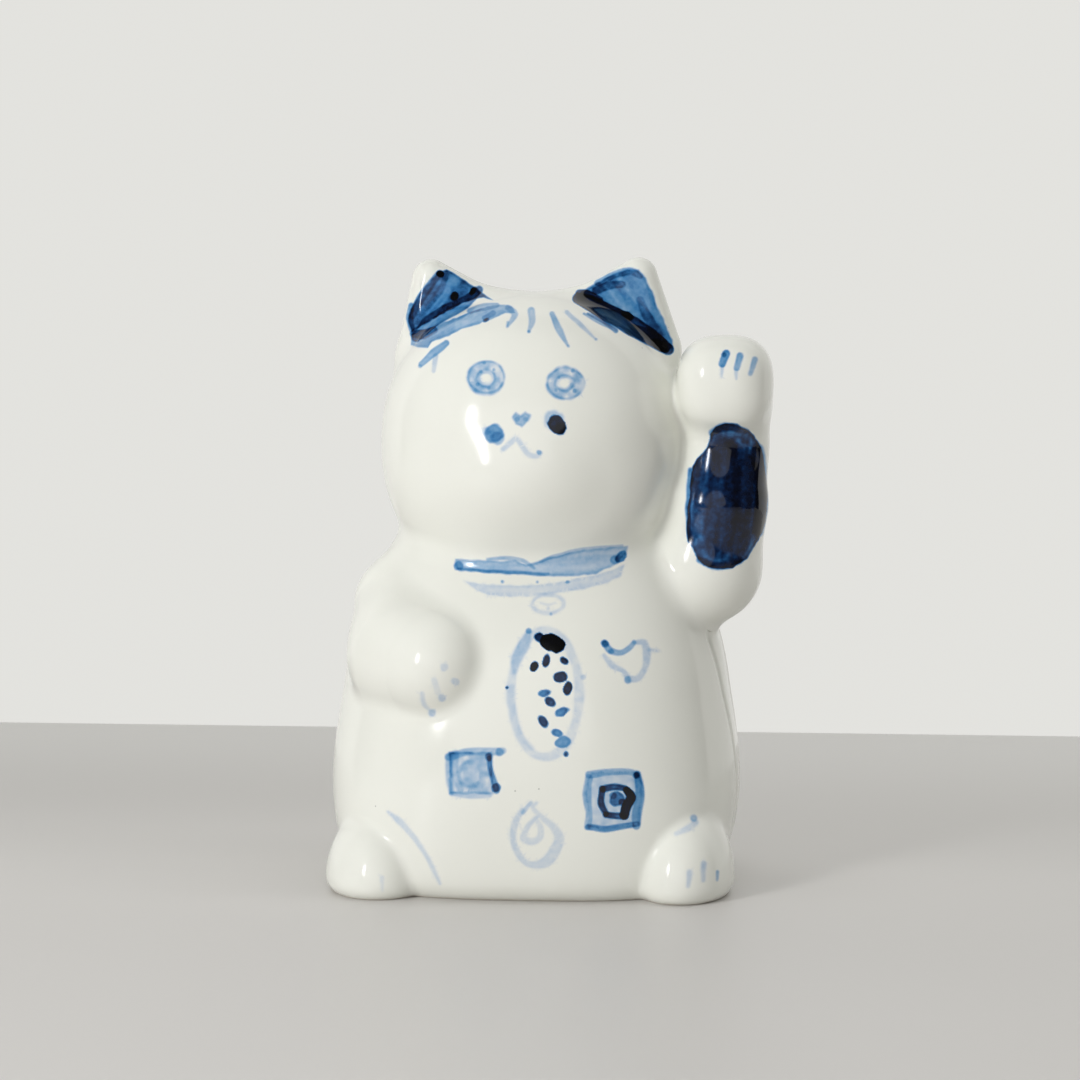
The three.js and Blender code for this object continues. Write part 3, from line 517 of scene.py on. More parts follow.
    ('line', [(-10.54, -45.06), (-10.13, -47.95), (-9.3, -50.43), (-8.89, -51.88)], [0.9, 1.0, 1.2, 1.2], 0.85, {}),
    ("blob", [(-9.09, -51.26)], 0.9, 1.0, {}),
    ('line', [(-18.81, -44.65), (-18.81, -48.57), (-18.4, -52.3)], [1.2, 1.4, 1.0], 0.25, {'soft': 0.3}),
    ('line', [(-18.19, -52.5), (-14.06, -52.92), (-10.33, -52.71)], [1.0, 1.0, 0.9], 0.22, {'soft': 0.28}),
    ('line', [(-17.57, -44.23), (-17.78, -47.95), (-16.54, -51.67)], [1.6, 1.8, 1.4], 0.2, {'soft': 0.3}),
    ("ring", [(-14.47, -48.37)], (2.3, 2.6), 0.16, {'mottle': 0.6, 'soft': 0.3, 'wide': 0.8}),
    ('fill', [(10.54, -47.95), (14.88, -47.75), (19.22, -47.75), (20.88, -48.57), (21.29, -52.71), (20.88, -56.22), (20.67, -59.32), (16.54, -59.74), (12.82, -59.94), (9.71, -59.53), (9.92, -56.22), (9.3, -52.71), (9.71, -49.61)], 0, 0.22, {'streak': 0.3, 'dir': (0, 1), 'edge': 0.9, 'soft': 0.28, 'mottle': 0.4}),
    ('line', [(10.13, -48.57), (14.47, -47.95), (18.19, -47.95), (20.05, -48.37)], [1.6, 1.4, 1.4, 1.2], 0.35, {}),
    ('line', [(20.05, -48.37), (20.67, -52.71), (20.05, -56.22), (19.84, -59.12)], [1.4, 2.0, 2.0, 1.6], 0.6, {'streak': 0.3}),
    ('line', [(10.13, -49.19), (9.71, -52.71), (10.13, -56.22), (9.92, -59.12)], [1.6, 1.8, 1.4, 1.6], 0.35, {}),
    ('line', [(9.92, -59.32), (13.44, -59.74), (16.54, -59.32), (20.05, -58.7)], [1.2, 1.3, 1.2, 1.2], 0.75, {}),
    ("blob", [(19.84, -48.57)], 0.7, 0.9, {}),
    ('line', [(13.02, -51.47), (15.3, -51.05), (17.57, -51.26)], [1.3, 1.4, 1.2], 1.6, {}),
    ('line', [(17.98, -51.67), (18.81, -53.12), (17.98, -54.98), (17.36, -56.84)], [1.4, 1.8, 1.8, 1.8], 3.9, {}),
    ('line', [(12.82, -51.47), (12.61, -54.36), (13.64, -56.64)], [1.2, 1.3, 1.2], 1.9, {}),
    ('line', [(13.64, -56.84), (15.5, -57.05), (16.95, -57.05)], [1.2, 1.3, 1.4], 1.8, {}),
    ("blob", [(15.92, -53.54)], 1.5, 1.15, {'stretch': (0.8, 0.5, 1.2)}),
    ("blob", [(15.09, -52.92)], 0.7, 0.7, {}),
    ("blob", [(16.95, -54.16)], 0.7, 1.1, {}),
    ('line', [(-3.72, -55.81), (-5.17, -58.29), (-5.58, -61.18), (-4.96, -64.08), (-3.31, -66.35), (-1.45, -67.18), (1.24, -66.56), (3.1, -64.08), (3.93, -61.6), (2.48, -59.12), (0.21, -57.26), (-1.45, -55.4), (-0.83, -54.36)], [1.1, 1.3, 1.3, 1.3, 1.2, 1.4, 2.2, 2.4, 1.9, 1.4, 1.0, 0.8, 0.7], 0.13, {'soft': 0.3}),
    ('line', [(-3.51, -56.22), (-1.86, -54.36)], [1.0, 0.8], 0.2, {'soft': 0.25}),
    ('line', [(-0.83, -57.46), (-2.69, -59.53), (-3.31, -61.6), (-1.86, -62.42), (-0.21, -61.6), (0.21, -59.53), (-0.83, -57.88)], [0.9, 1.2, 1.4, 1.4, 1.3, 1.2, 0.9], 0.1, {'soft': 0.3}),
    ("blob", [(-19.84, -26.25)], 0.8, 0.1, {'soft': 0.3}),
    ("blob", [(-17.57, -29.35)], 0.75, 0.12, {'soft': 0.3, 'stretch': (0.8, -0.6, 1.3)}),
    ("blob", [(-20.26, -32.66)], 0.75, 0.17, {'soft': 0.28}),
    ("blob", [(-22.32, -35.76)], 0.75, 0.22, {'soft': 0.26}),
    ('line', [(-24.39, -31.83), (-23.98, -33.9), (-22.94, -35.14)], [0.9, 1.0, 0.6], 0.1, {'soft': 0.3}),
    ('line', [(-21.91, -28.94), (-21.08, -31.42)], [1.2, 1.4], 0.06, {'soft': 0.3}),
    ('line', [(-31.42, -56.22), (-28.94, -58.29), (-26.25, -61.18), (-23.98, -64.49), (-22.12, -67.8), (-20.67, -71.1)], [0.5, 1.3, 1.1, 0.9, 0.9, 0.5], 0.13, {'soft': 0.3}),
    ("blob", [(31.83, -57.46)], 0.7, 0.3, {'soft': 0.28}),
    ('line', [(32.25, -58.29), (30.59, -59.53), (28.11, -60.77)], [1.2, 1.4, 0.8], 0.13, {'soft': 0.35}),
    ('line', [(31.0, -68.62), (30.59, -71.52)], [1.2, 0.8], 0.13, {'soft': 0.35}),
    ('line', [(33.9, -66.97), (33.69, -70.28)], [1.1, 0.8], 0.15, {'soft': 0.35}),
    ('line', [(36.79, -68.62), (36.59, -70.28)], [0.7, 0.6], 0.3, {}),
    ('line', [(-32.66, -69.86), (-32.66, -72.34)], [0.9, 0.6], 0.06, {'soft': 0.3}),
    ('line', [(38.45, 38.45), (37.62, 36.38)], [1.6, 1.4], 0.8, {'zone': 'arm'}),
    ('line', [(41.34, 38.03), (40.62, 35.55)], [1.4, 1.1], 0.5, {'zone': 'arm'}),
    ('line', [(44.44, 37.41), (43.41, 34.31)], [1.2, 0.9], 0.32, {'zone': 'arm'}),
    ('line', [(37.62, 35.97), (37.41, 33.69)], [0.8, 0.5], 0.15, {'zone': 'arm'}),
    ('line', [(40.51, 35.14), (40.51, 33.28)], [0.8, 0.5], 0.15, {'zone': 'arm'}),
    ("blob", [(38.03, 38.24)], 0.5, 0.6, {'zone': 'arm'}),
    ('fill', [(35.35, 22.12), (36.38, 23.36), (38.24, 24.08), (40.72, 23.98), (42.99, 22.74), (45.06, 20.46), (46.09, 17.57), (46.71, 13.44), (47.13, 8.27), (46.51, 3.72), (45.06, 0.0), (42.79, -3.72), (39.69, -5.79), (36.79, -5.99), (33.9, -5.37), (32.45, -3.72), (31.42, -1.45), (30.38, -0.21), (30.38, 4.13), (31.0, 9.92), (31.42, 14.88), (32.45, 16.74), (33.69, 18.19), (34.73, 19.43)], 0, 1.9, {'streak': 0.4, 'dir': (0.1, 0.99), 'edge': 0.3, 'zone': 'arm'}),
    ('line', [(38.03, 18.6), (38.24, 12.4), (37.62, 4.13), (36.59, -1.24)], [5.5, 7.0, 7.0, 5.0], 0.9, {'zone': 'arm', 'streak': 0.45, 'edge': 0.0, 'dir': (0.05, 1.0), 'soft': 0.7}),
    ('line', [(40.93, 19.43), (42.79, 12.4), (42.58, 4.13), (40.72, -0.83)], [4.5, 6.0, 6.0, 4.0], 0.8, {'zone': 'arm', 'streak': 0.45, 'edge': 0.0, 'dir': (0.05, 1.0), 'soft': 0.7}),
    ('line', [(44.85, 18.6), (46.09, 10.33), (45.06, 2.07)], [2.4, 2.8, 2.4], 1.2, {'zone': 'arm', 'streak': 0.3, 'edge': 0.1, 'dir': (0.05, 1.0), 'soft': 0.5}),
    ('line', [(31.0, 14.47), (30.59, 6.2), (31.0, 0.0)], [0.8, 1.0, 0.8], 0.9, {'zone': 'arm', 'soft': 0.25}),
    ('line', [(35.55, 22.12), (38.24, 23.36), (42.37, 22.53)], [1.2, 1.6, 1.2], 0.9, {'zone': 'arm', 'soft': 0.4}),
    ('line', [(33.07, -4.13), (36.79, -5.37), (41.34, -4.13)], [1.2, 1.6, 1.2], 0.9, {'zone': 'arm', 'soft': 0.4}),
    ('line', [(40.72, 20.67), (43.82, 18.19), (45.06, 16.12)], [0.8, 1.6, 0.8], -0.6, {'zone': 'arm', 'soft': 0.5}),
]


def hash01(i, j, seed):
    v = (i.astype(np.int64) * 73856093) ^ (j.astype(np.int64) * 19349663) ^ (seed * 83492791)
    v = (v ^ (v >> 13)) * 1274126177
    return ((v ^ (v >> 16)) & 0xFFFF) / 65535.0


def noise2(x, y, seed):
    """Smooth value noise, 0 to 1, one lump per unit."""
    i, j = np.floor(x), np.floor(y)
    u, v = x - i, y - j
    u, v = u * u * (3 - 2 * u), v * v * (3 - 2 * v)
    a, b = hash01(i, j, seed), hash01(i + 1, j, seed)
    c, d = hash01(i, j + 1, seed), hash01(i + 1, j + 1, seed)
    return (a * (1 - u) + b * u) * (1 - v) + (c * (1 - u) + d * u) * v


def smooth(a, b, t):
    t = np.clip((t - a) / (b - a), 0, 1)
    return t * t * (3 - 2 * t)


def along(P, pts, width):
    """Distance past the edge of a brush line, and how far along it, mm."""
    pts = np.array(pts, float)
    w = np.full(len(pts), width, float) if np.isscalar(width) else np.array(width, float)
    # a rounder path through the same points
    if len(pts) > 2:
        t = np.arange(len(pts))
        s = np.linspace(0, len(pts) - 1, (len(pts) - 1) * 4 + 1)
        k = np.minimum(s.astype(int), len(pts) - 2)
        f = (s - k)[:, None]
        m = np.gradient(pts, axis=0)
        pts = ((2 * f ** 3 - 3 * f ** 2 + 1) * pts[k] + (f ** 3 - 2 * f ** 2 + f) * m[k]
               + (3 * f ** 2 - 2 * f ** 3) * pts[k + 1] + (f ** 3 - f ** 2) * m[k + 1])
        w = np.interp(s, t, w)
    best, where, run = np.full(len(P), 1e9), np.zeros(len(P)), 0.0
    for a, b, wa, wb in zip(pts[:-1], pts[1:], w[:-1], w[1:]):
        d = b - a
        L = math.hypot(*d)
        t = np.clip(((P - a) @ d) / max(L * L, 1e-9), 0, 1)
        e = np.hypot(*(P - a - t[:, None] * d).T) - (wa + (wb - wa) * t) / 2
        m = e < best
        best[m], where[m] = e[m], run + t[m] * L
        run += L
    return best, where


def outline(P, pts):
    """Signed distance to a closed outline, negative inside."""
    pts = np.array(pts, float)
    best, inside = np.full(len(P), 1e9), np.zeros(len(P), bool)
    for a, b in zip(pts, np.roll(pts, -1, 0)):
        d = b - a
        t = np.clip(((P - a) @ d) / max(d @ d, 1e-9), 0, 1)
        best = np.minimum(best, np.hypot(*(P - a - t[:, None] * d).T))
        over = (a[1] > P[:, 1]) != (b[1] > P[:, 1])
        with np.errstate(divide="ignore", invalid="ignore"):
            cross = (b[0] - a[0]) * (P[:, 1] - a[1]) / (b[1] - a[1]) + a[0]
        inside ^= over & (P[:, 0] < cross)
    return np.where(inside, -best, best)


def painted(D, group):
    """Pigment at drawing points D, and the distance to the nearest brush edge."""
    ink, near = np.zeros(len(D)), np.full(len(D), 1e3)
    # the brush hand wavers a little
    W = D + 0.22 * np.stack([noise2(D[:, 0] / 2.2, D[:, 1] / 2.2, 3) - 0.5, noise2(D[:, 0] / 2.2 + 9, D[:, 1] / 2.2, 5) - 0.5], -1)
    for n, (kind, pts, width, dens, opt) in enumerate(STROKES):
        zone = opt.get("zone", "")
        if (zone == "arm") != (group == "arm"):
            continue
        Q = np.atleast_2d(np.array(pts, float))
        room = 3.5 + (max(width) if not np.isscalar(width) else width)
        if kind == "blob":
            room = 3.5 + 3 * width
        if kind == "ring":
            room = 3.5 + max(width) + opt["wide"]
        lo, hi = Q.min(0) - room, Q.max(0) + room
        sel = np.nonzero(((W > lo) & (W < hi)).all(1))[0]
        if not len(sel):
            continue
        P = W[sel]
        soft = opt.get("soft", 0.17)
        run = None
        if kind == "line":
            e, run = along(P, pts, width)
        elif kind == "fill":
            e = outline(P, pts) + 0.25 * (noise2(P[:, 0] / 0.9, P[:, 1] / 0.9, 11 + n) - 0.5)
        elif kind == "blob":
            q = P - Q[0]
            if "stretch" in opt:
                sx, sy, k = opt["stretch"]
                L = math.hypot(sx, sy)
                u = (q[:, 0] * sx + q[:, 1] * sy) / L
                v = (-q[:, 0] * sy + q[:, 1] * sx) / L
                q = np.stack([u / math.sqrt(k), v * math.sqrt(k)], -1)
            e = np.hypot(*q.T) - width * (0.9 + 0.25 * noise2(P[:, 0] / 0.8, P[:, 1] / 0.8, 7 + n))
        else:
            q = P - Q[0]
            r = np.hypot(q[:, 0] / width[0], q[:, 1] / width[1])
            g = np.maximum(np.hypot(q[:, 0] / width[0] ** 2, q[:, 1] / width[1] ** 2) / np.maximum(r, 1e-6), 1e-6)
            ang = np.arctan2(q[:, 1], q[:, 0])
            e = np.abs((r - 1) / g) - opt["wide"] / 2 * (0.8 + 0.4 * noise2(ang * 1.7 + 20, r, 13 + n))
        cover = 1 - smooth(-soft, soft, e)
        pool = 1 + opt.get("edge", 0.22) * np.exp(-((e + 0.28) / 0.22) ** 2)
        lumps = 0.84 + 0.32 * noise2(P[:, 0] / 0.75, P[:, 1] / 0.75, 31 + n)
        if opt.get("mottle"):
            lumps *= 1 + opt["mottle"] * 2 * (noise2(P[:, 0] / 1.1, P[:, 1] / 1.1, 51 + n) - 0.5)
        if run is not None:
            load = np.interp(run, [0, max(run.max(), 1e-3)], [1.12, 0.86])
            lumps *= load * (0.88 + 0.24 * noise2(run / 1.3, e * 3, 71 + n))
        if opt.get("streak"):
            dx, dy = opt.get("dir", (1.0, 0.0))
            L = math.hypot(dx, dy)
            u, v = (P[:, 0] * dx + P[:, 1] * dy) / L, (-P[:, 0] * dy + P[:, 1] * dx) / L
            s = 0.6 * noise2(u / 9, v / 1.5, 91 + n) + 0.4 * noise2(u / 5, v / 0.6, 95 + n)
            lumps *= 1 + opt["streak"] * 2 * (s - 0.5)
        ink[sel] += dens * cover * pool * lumps
        near[sel] = np.minimum(near[sel], np.abs(e) + (0.3 if dens < 0.25 else 0.0))
    return np.minimum(ink, 7.5), near


def drawing(V):
    q = V - EYE
    far = -(q @ BACK)
    return np.stack([q @ RIGHT, q @ UP], -1) * (EYE_FAR / far)[:, None]


# ---------------------------------------------------------------- the pieces
FAR = 120.0
skin = cut(nets(cat, (-46.0, -40.0, -4.0), (52.5, 46.0, 131.0), 0.9), box_solid((-FAR, -FAR, 0), (FAR, FAR, 2 * FAR)), "INTERSECT")
hollow = nets(cavity, (-45.0, -40.0, -9.0), (45.0, 41.0, 126.0), 2.0)
arm_around = nets(arm_joint, (15.0, -28.0, 42.0), (58.0, 14.0, 122.0), 1.1)
tail_around = nets(tail_joint, (-12.0, 20.0, 2.0), (30.0, 50.0, 38.0), 1.0)
front = lambda y: box_solid((-FAR, -FAR, -FAR), (FAR, y, 2 * FAR))
rear = lambda y: box_solid((-FAR, y, -FAR), (FAR, FAR, 2 * FAR))
body = cut(cut(cut(skin, arm_around, "DIFFERENCE"), tail_around, "DIFFERENCE"), hollow, "DIFFERENCE")
arm = cut(skin, arm_around, "INTERSECT")
slab = cut(nets(slab_fill, (-45.0, -40.0, -9.0), (45.0, 41.0, 15.0), 1.0),
           box_solid((-FAR, -FAR, SLAB_BOTTOM), (FAR, FAR, SLAB_TOP)), "INTERSECT")
SOLIDS = {
    "body_front_shell": cut(body, front(SEAM_Y), "INTERSECT"),
    "body_back_shell": cut(body, rear(SEAM_Y), "INTERSECT"),
    "arm_front_half": cut(arm, front(ARM_SEAM_Y), "INTERSECT"),
    "arm_back_half": cut(arm, rear(ARM_SEAM_Y), "INTERSECT"),
    "tail": cut(skin, tail_around, "INTERSECT"),
    "base_slab": cut(slab, tube_solid(VENT_RADIUS, -20, 20), "DIFFERENCE"),
}
SEAM_OF = {"body_front_shell": SEAM_Y, "body_back_shell": SEAM_Y, "arm_front_half": ARM_SEAM_Y, "arm_back_half": ARM_SEAM_Y}
RIDGE, RIDGE_WIDE = 0.13, 0.42                     # the fettled parting line, mm
GROOVE, GROOVE_WIDE = 0.5, 0.85                    # the sponged hollow in front of it on the right flank


def groove_line(z):
    return -12.0 + 7.5 * np.clip((55.0 - z) / 47.0, 0, 1)


def ridge(V, y0):
    """Height of the parting line and its slope along y; it dies out at the joint and the foot."""
    t = (V[:, 1] - y0) / RIDGE_WIDE
    keep = smooth(1.0, 5.0, V[:, 2])
    if y0 == SEAM_Y:
        keep = keep * smooth(0.3, 2.2, arm_form(*V.T))
    else:
        keep = keep * smooth(0.3, 2.2, core(*V.T))
    keep = keep * (0.55 + 0.7 * noise2(V[:, 2] / 7.0, V[:, 0] / 7.0, 17))
    h = RIDGE * keep * np.exp(-t * t)
    slope = -2 * t / RIDGE_WIDE * h
    if y0 == SEAM_Y:
        s = (V[:, 1] - groove_line(V[:, 2])) / GROOVE_WIDE
        fade = smooth(4, 16, V[:, 2]) * (1 - smooth(50, 56, V[:, 2])) * smooth(20, 26, V[:, 0])
        deep = -GROOVE * fade * smooth(0, 20, V[:, 2]) * np.exp(-s * s)
        h, slope = h + deep, slope - 2 * s / GROOVE_WIDE * deep
    return h, slope


def finish_piece(name, V, T):
    clay = name == "base_slab"
    group = "arm" if name.startswith("arm") else "body"
    paints = name in ("body_front_shell", "arm_front_half", "arm_back_half")
    y0 = SEAM_OF.get(name)

    def outer(V):
        return np.abs(cat(*V.T)) < 0.06

    def wanted(M, length):
        w = np.full(len(M), 1.6)
        if clay:
            return w * 3
        o = outer(M)
        w[~o] = 5.0
        k = np.nonzero(o)[0]
        if paints and len(k):
            g = gradient(cat, M[k], 0.1)
            seen = ((EYE - M[k]) * g).sum(1) > -0.05 * EYE_FAR
            ink, near = painted(drawing(M[k]), group)
            band = near < 0.2 + 0.55 * length[k]
            w[k[seen & band]] = LEAST
            w[k[seen & (ink > 0.3) & ~band]] = max(0.62, LEAST)
        if name == "body_front_shell" and len(k):
            P = M[k]
            flank = (np.abs(P[:, 1] - groove_line(P[:, 2])) < 2.2) & (P[:, 0] > 20) & (P[:, 2] > 2) & (P[:, 2] < 57)
            w[k[flank]] = np.minimum(w[k[flank]], max(0.45, LEAST))
        if y0 is not None and len(k):
            w[k[np.abs(M[k, 1] - y0) < 1.0]] = np.minimum(w[k[np.abs(M[k, 1] - y0) < 1.0]], max(0.42, LEAST))
        return w

    if not clay:
        for LEAST in (0.7, 0.45, 0.33):
            V, T, new = split_edges(V, T, wanted)
            # new corners go back onto the glaze surface, except along a cut edge
            n = np.cross(V[T[:, 1]] - V[T[:, 0]], V[T[:, 2]] - V[T[:, 0]])
            n /= np.maximum(np.linalg.norm(n, axis=1), 1e-12)[:, None]
            mid = V[T].mean(1)
            face_out = outer_faces(mid, n)
            on, off = np.zeros(len(V), bool), np.zeros(len(V), bool)
            on[T[face_out].ravel()] = True
            off[T[~face_out].ravel()] = True
            move = new & on & ~off
            V[move] = project(cat, V[move], 1)
    n = np.cross(V[T[:, 1]] - V[T[:, 0]], V[T[:, 2]] - V[T[:, 0]])
    n /= np.maximum(np.linalg.norm(n, axis=1), 1e-12)[:, None]
    face_out = outer_faces(V[T].mean(1), n) if not clay else np.zeros(len(T), bool)
    on = np.zeros(len(V), bool)
    on[T[face_out].ravel()] = True
    k = np.nonzero(on)[0]
    ink, glaze = np.zeros(len(V), np.float32), on.astype(np.float32)
    N = np.zeros((len(V), 3))
    if len(k):
        g = gradient(cat, V[k])
        g /= np.maximum(np.linalg.norm(g, axis=1), 1e-9)[:, None]
        if paints:
            facing = ((EYE - V[k]) * g).sum(1) / np.linalg.norm(EYE - V[k], axis=1)
            ink[k] = painted(drawing(V[k]), group)[0] * smooth(-0.05, 0.06, facing)
        if y0 is not None:
            h, slope = ridge(V[k], y0)
            V = V.copy()
            V[k] += g * h[:, None]
            tip = np.array([0.0, 1.0, 0.0]) - g * g[:, 1:2]
            g = g - slope[:, None] * tip
            g /= np.linalg.norm(g, axis=1)[:, None]
        N[k] = g
        # wiped foot: the glaze stops a little above the table
        glaze[k] *= smooth(0.35, 0.75, V[k, 2] + 0.25 * noise2(V[k, 0] / 3, V[k, 1] / 3, 23))
    ob = to_object(name, (V + SHIFT) / 1000.0, T)
    me = ob.data
    assert len(me.polygons) == len(T)
    for key, data in (("cobalt", ink), ("glazed", glaze)):
        me.attributes.new(key, "FLOAT", "POINT").data.foreach_set("value", np.ascontiguousarray(data, np.float32))
    L = N[T.ravel()].reshape(-1, 3, 3)
    L[~face_out] = n[~face_out][:, None, :]
    me.polygons.foreach_set("use_smooth", np.ones(len(T), bool))
    me.normals_split_custom_set(L.reshape(-1, 3).astype(np.float32))
    me.update()
    print(name, len(V), "corners", len(T), "faces")
    return ob


def outer_faces(mid, n):
    close = np.abs(cat(*mid.T)) < 0.12
    out = np.zeros(len(mid), bool)
    k = np.nonzero(close)[0]
    g = gradient(cat, mid[k], 0.1)
    g /= np.maximum(np.linalg.norm(g, axis=1), 1e-9)[:, None]
    out[k] = (g * n[k]).sum(1) > 0.7
    return out


PIECES = {name: finish_piece(name, *solid) for name, solid in SOLIDS.items()}
for name, ob in PIECES.items():
    ob.name = name + "_porcelain" if name != "base_slab" else "base_slab_clay"
    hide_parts(name)
    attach(ob, "root")


# ------------------------------------------------------- light and tone knobs
TABLE_COLOUR, WALL_COLOUR = (0.645, 0.628, 0.607), (0.70, 0.69, 0.67)
TABLE_EDGE = 0.194
WALL_GLOW = 0.03
AMBIENT = (0.345, 0.345, 0.338)


def at_(r, u, b, far):
    d = r * RIGHT + u * UP + b * BACK
    return (AIM + SHIFT) * 0.001 + d / np.linalg.norm(d) * far


LIGHTS = [
    ("key_body", at_(-0.64, 0.22, 0.74, 0.95), (0.28, 0.45), 2.9),
    ("glint_core", at_(-0.625, 0.185, 0.76, 0.93), (0.075, 0.20), 0.8),
    ("glint_mid", at_(-0.625, 0.185, 0.76, 0.96), (0.13, 0.29), 0.5),
    ("glint_edge", at_(-0.625, 0.185, 0.76, 0.99), (0.22, 0.40), 0.4),
    ("wall_wash", (0.9, -0.1, 1.9), (3.0, 0.8), 12.0, (1, 1, 1), (1.0, 1.1, 0.5)),
    ("left_fill", at_(-1.0, 0.25, 0.4, 1.3), (1.0, 1.2), 0.6),
    ("low_fill", at_(-0.15, 0.1, 1.0, 1.5), (1.4, 0.9), 2.15),
]
CARDS = [("dark_card", at_(0.93, 0.05, 0.36, 0.8), (0.5, 1.0), 0.03)]


# ------------------------------------------------------------------ materials
def node(nt, kind, **put):
    n = nt.nodes.new(kind)
    for k, v in put.items():
        if k.startswith("in_"):
            n.inputs[int(k[3:]) if k[3:].isdigit() else k[3:].replace("_", " ")].default_value = v
        else:
            setattr(n, k, v)
    return n


def glaze_material():
    m = bpy.data.materials.new("cobalt_under_glaze")
    m.use_nodes = True
    nt = m.node_tree
    nt.nodes.clear()
    L = nt.links.new
    out = node(nt, "ShaderNodeOutputMaterial")
    p = node(nt, "ShaderNodeBsdfPrincipled")
    L(p.outputs[0], out.inputs[0])
    co = node(nt, "ShaderNodeTexCoord").outputs["Object"]
    ink = node(nt, "ShaderNodeAttribute", attribute_name="cobalt").outputs["Fac"]
    gl = node(nt, "ShaderNodeAttribute", attribute_name="glazed").outputs["Fac"]

    def math_(op, a, b=None, c=None, clamp=False):
        n = node(nt, "ShaderNodeMath", operation=op, use_clamp=clamp)
        for i, v in enumerate((a, b, c)):
            if v is None:
                continue
            if isinstance(v, (int, float)):
                n.inputs[i].default_value = v
            else:
                L(v, n.inputs[i])
        return n.outputs[0]

    def noise(scale, detail=2.0, rough=0.5):
        n = node(nt, "ShaderNodeTexNoise")
        L(co, n.inputs["Vector"])
        n.inputs["Scale"].default_value = scale
        n.inputs["Detail"].default_value = detail
        n.inputs["Roughness"].default_value = rough
        return n.outputs[0]

    # pigment: fine grain, then light is lost in it channel by channel
    grain = math_("MULTIPLY_ADD", noise(1400, 3, 0.6), 0.5, 0.75)
    cloud = math_("MULTIPLY_ADD", noise(330, 2), 0.44, 0.78)
    D = math_("MULTIPLY", math_("MULTIPLY", ink, grain), cloud)
    extra = math_("MAXIMUM", math_("SUBTRACT", D, 1.25), 0.0)
    comp = []
    thin = math_("SUBTRACT", 1.0, math_("EXPONENT", math_("MULTIPLY", D, -4.0)))
    for k1, k2, k3, white in ((2.45, 0.2, 0.0, 0.835), (1.05, 1.0, 0.22, 0.84), (0.5, 1.1, 0.0, 0.778)):
        a = math_("MULTIPLY_ADD", extra, k2, math_("MULTIPLY", D, k1))
        a = math_("MULTIPLY_ADD", thin, k3, a)
        t = math_("EXPONENT", math_("MULTIPLY", a, -1.0))
        comp.append((t, white))
    tint = math_("MULTIPLY_ADD", noise(38, 3, 0.55), 0.035, 0.9825)      # the glaze pools and thins
    speck = node(nt, "ShaderNodeTexVoronoi", feature="F1")
    L(co, speck.inputs["Vector"])
    speck.inputs["Scale"].default_value = 210
    spot = math_("LESS_THAN", speck.outputs["Distance"], 0.04)
    rare = math_("GREATER_THAN", node_sep(nt, speck.outputs["Color"]), 0.88)
    iron = math_("SUBTRACT", 1.0, math_("MULTIPLY", math_("MULTIPLY", spot, rare), 0.35))
    chans = []
    for t, white in comp:
        v = math_("MULTIPLY", math_("MULTIPLY", t, white), math_("MULTIPLY", tint, iron))
        chans.append(math_("ADD", v, 0.004))
    comb = node(nt, "ShaderNodeCombineColor")
    for i, v in enumerate(chans):
        L(v, comb.inputs[i])
    bare = node(nt, "ShaderNodeMix", data_type="RGBA")
    L(gl, bare.inputs[0])
    bisque = node(nt, "ShaderNodeValToRGB")
    bisque.color_ramp.elements[0].color = (0.60, 0.56, 0.49, 1)
    bisque.color_ramp.elements[1].color = (0.74, 0.71, 0.64, 1)
    L(noise(520, 4, 0.65), bisque.inputs[0])
    L(bisque.outputs[0], bare.inputs[6])
    L(comb.outputs[0], bare.inputs[7])
    L(bare.outputs[2], p.inputs["Base Color"])
    # gloss: roughness wavers a little, and is duller where clay is bare
    r = math_("MULTIPLY_ADD", noise(60, 2), 0.05, GLOSS)
    r = math_("MULTIPLY_ADD", math_("SUBTRACT", 1.0, gl), 0.5, r)
    L(r, p.inputs["Roughness"])
    p.inputs["IOR"].default_value = 1.52
    # the hand-made surface: a slow waver, faint orange peel, pinholes
    wave = math_("MULTIPLY", noise(46, 1.0, 0.5), 0.0004)
    peel = math_("MULTIPLY", noise(420, 2, 0.5), 0.0000085)
    pore = math_("MULTIPLY", math_("SUBTRACT", 1.0, gl), math_("MULTIPLY", noise(2600, 3, 0.6), 0.00006))
    pin = math_("MULTIPLY", math_("MULTIPLY", spot, rare), -0.00003)
    h = math_("ADD", math_("ADD", wave, peel), math_("ADD", pore, pin))
    b = node(nt, "ShaderNodeBump")
    b.inputs["Strength"].default_value = 1.0
    b.inputs["Distance"].default_value = 1.0
    L(h, b.inputs["Height"])
    L(b.outputs[0], p.inputs["Normal"])
    return m


def node_sep(nt, colour):
    s = nt.nodes.new("ShaderNodeSeparateColor")
    nt.links.new(colour, s.inputs[0])
    return s.outputs[0]


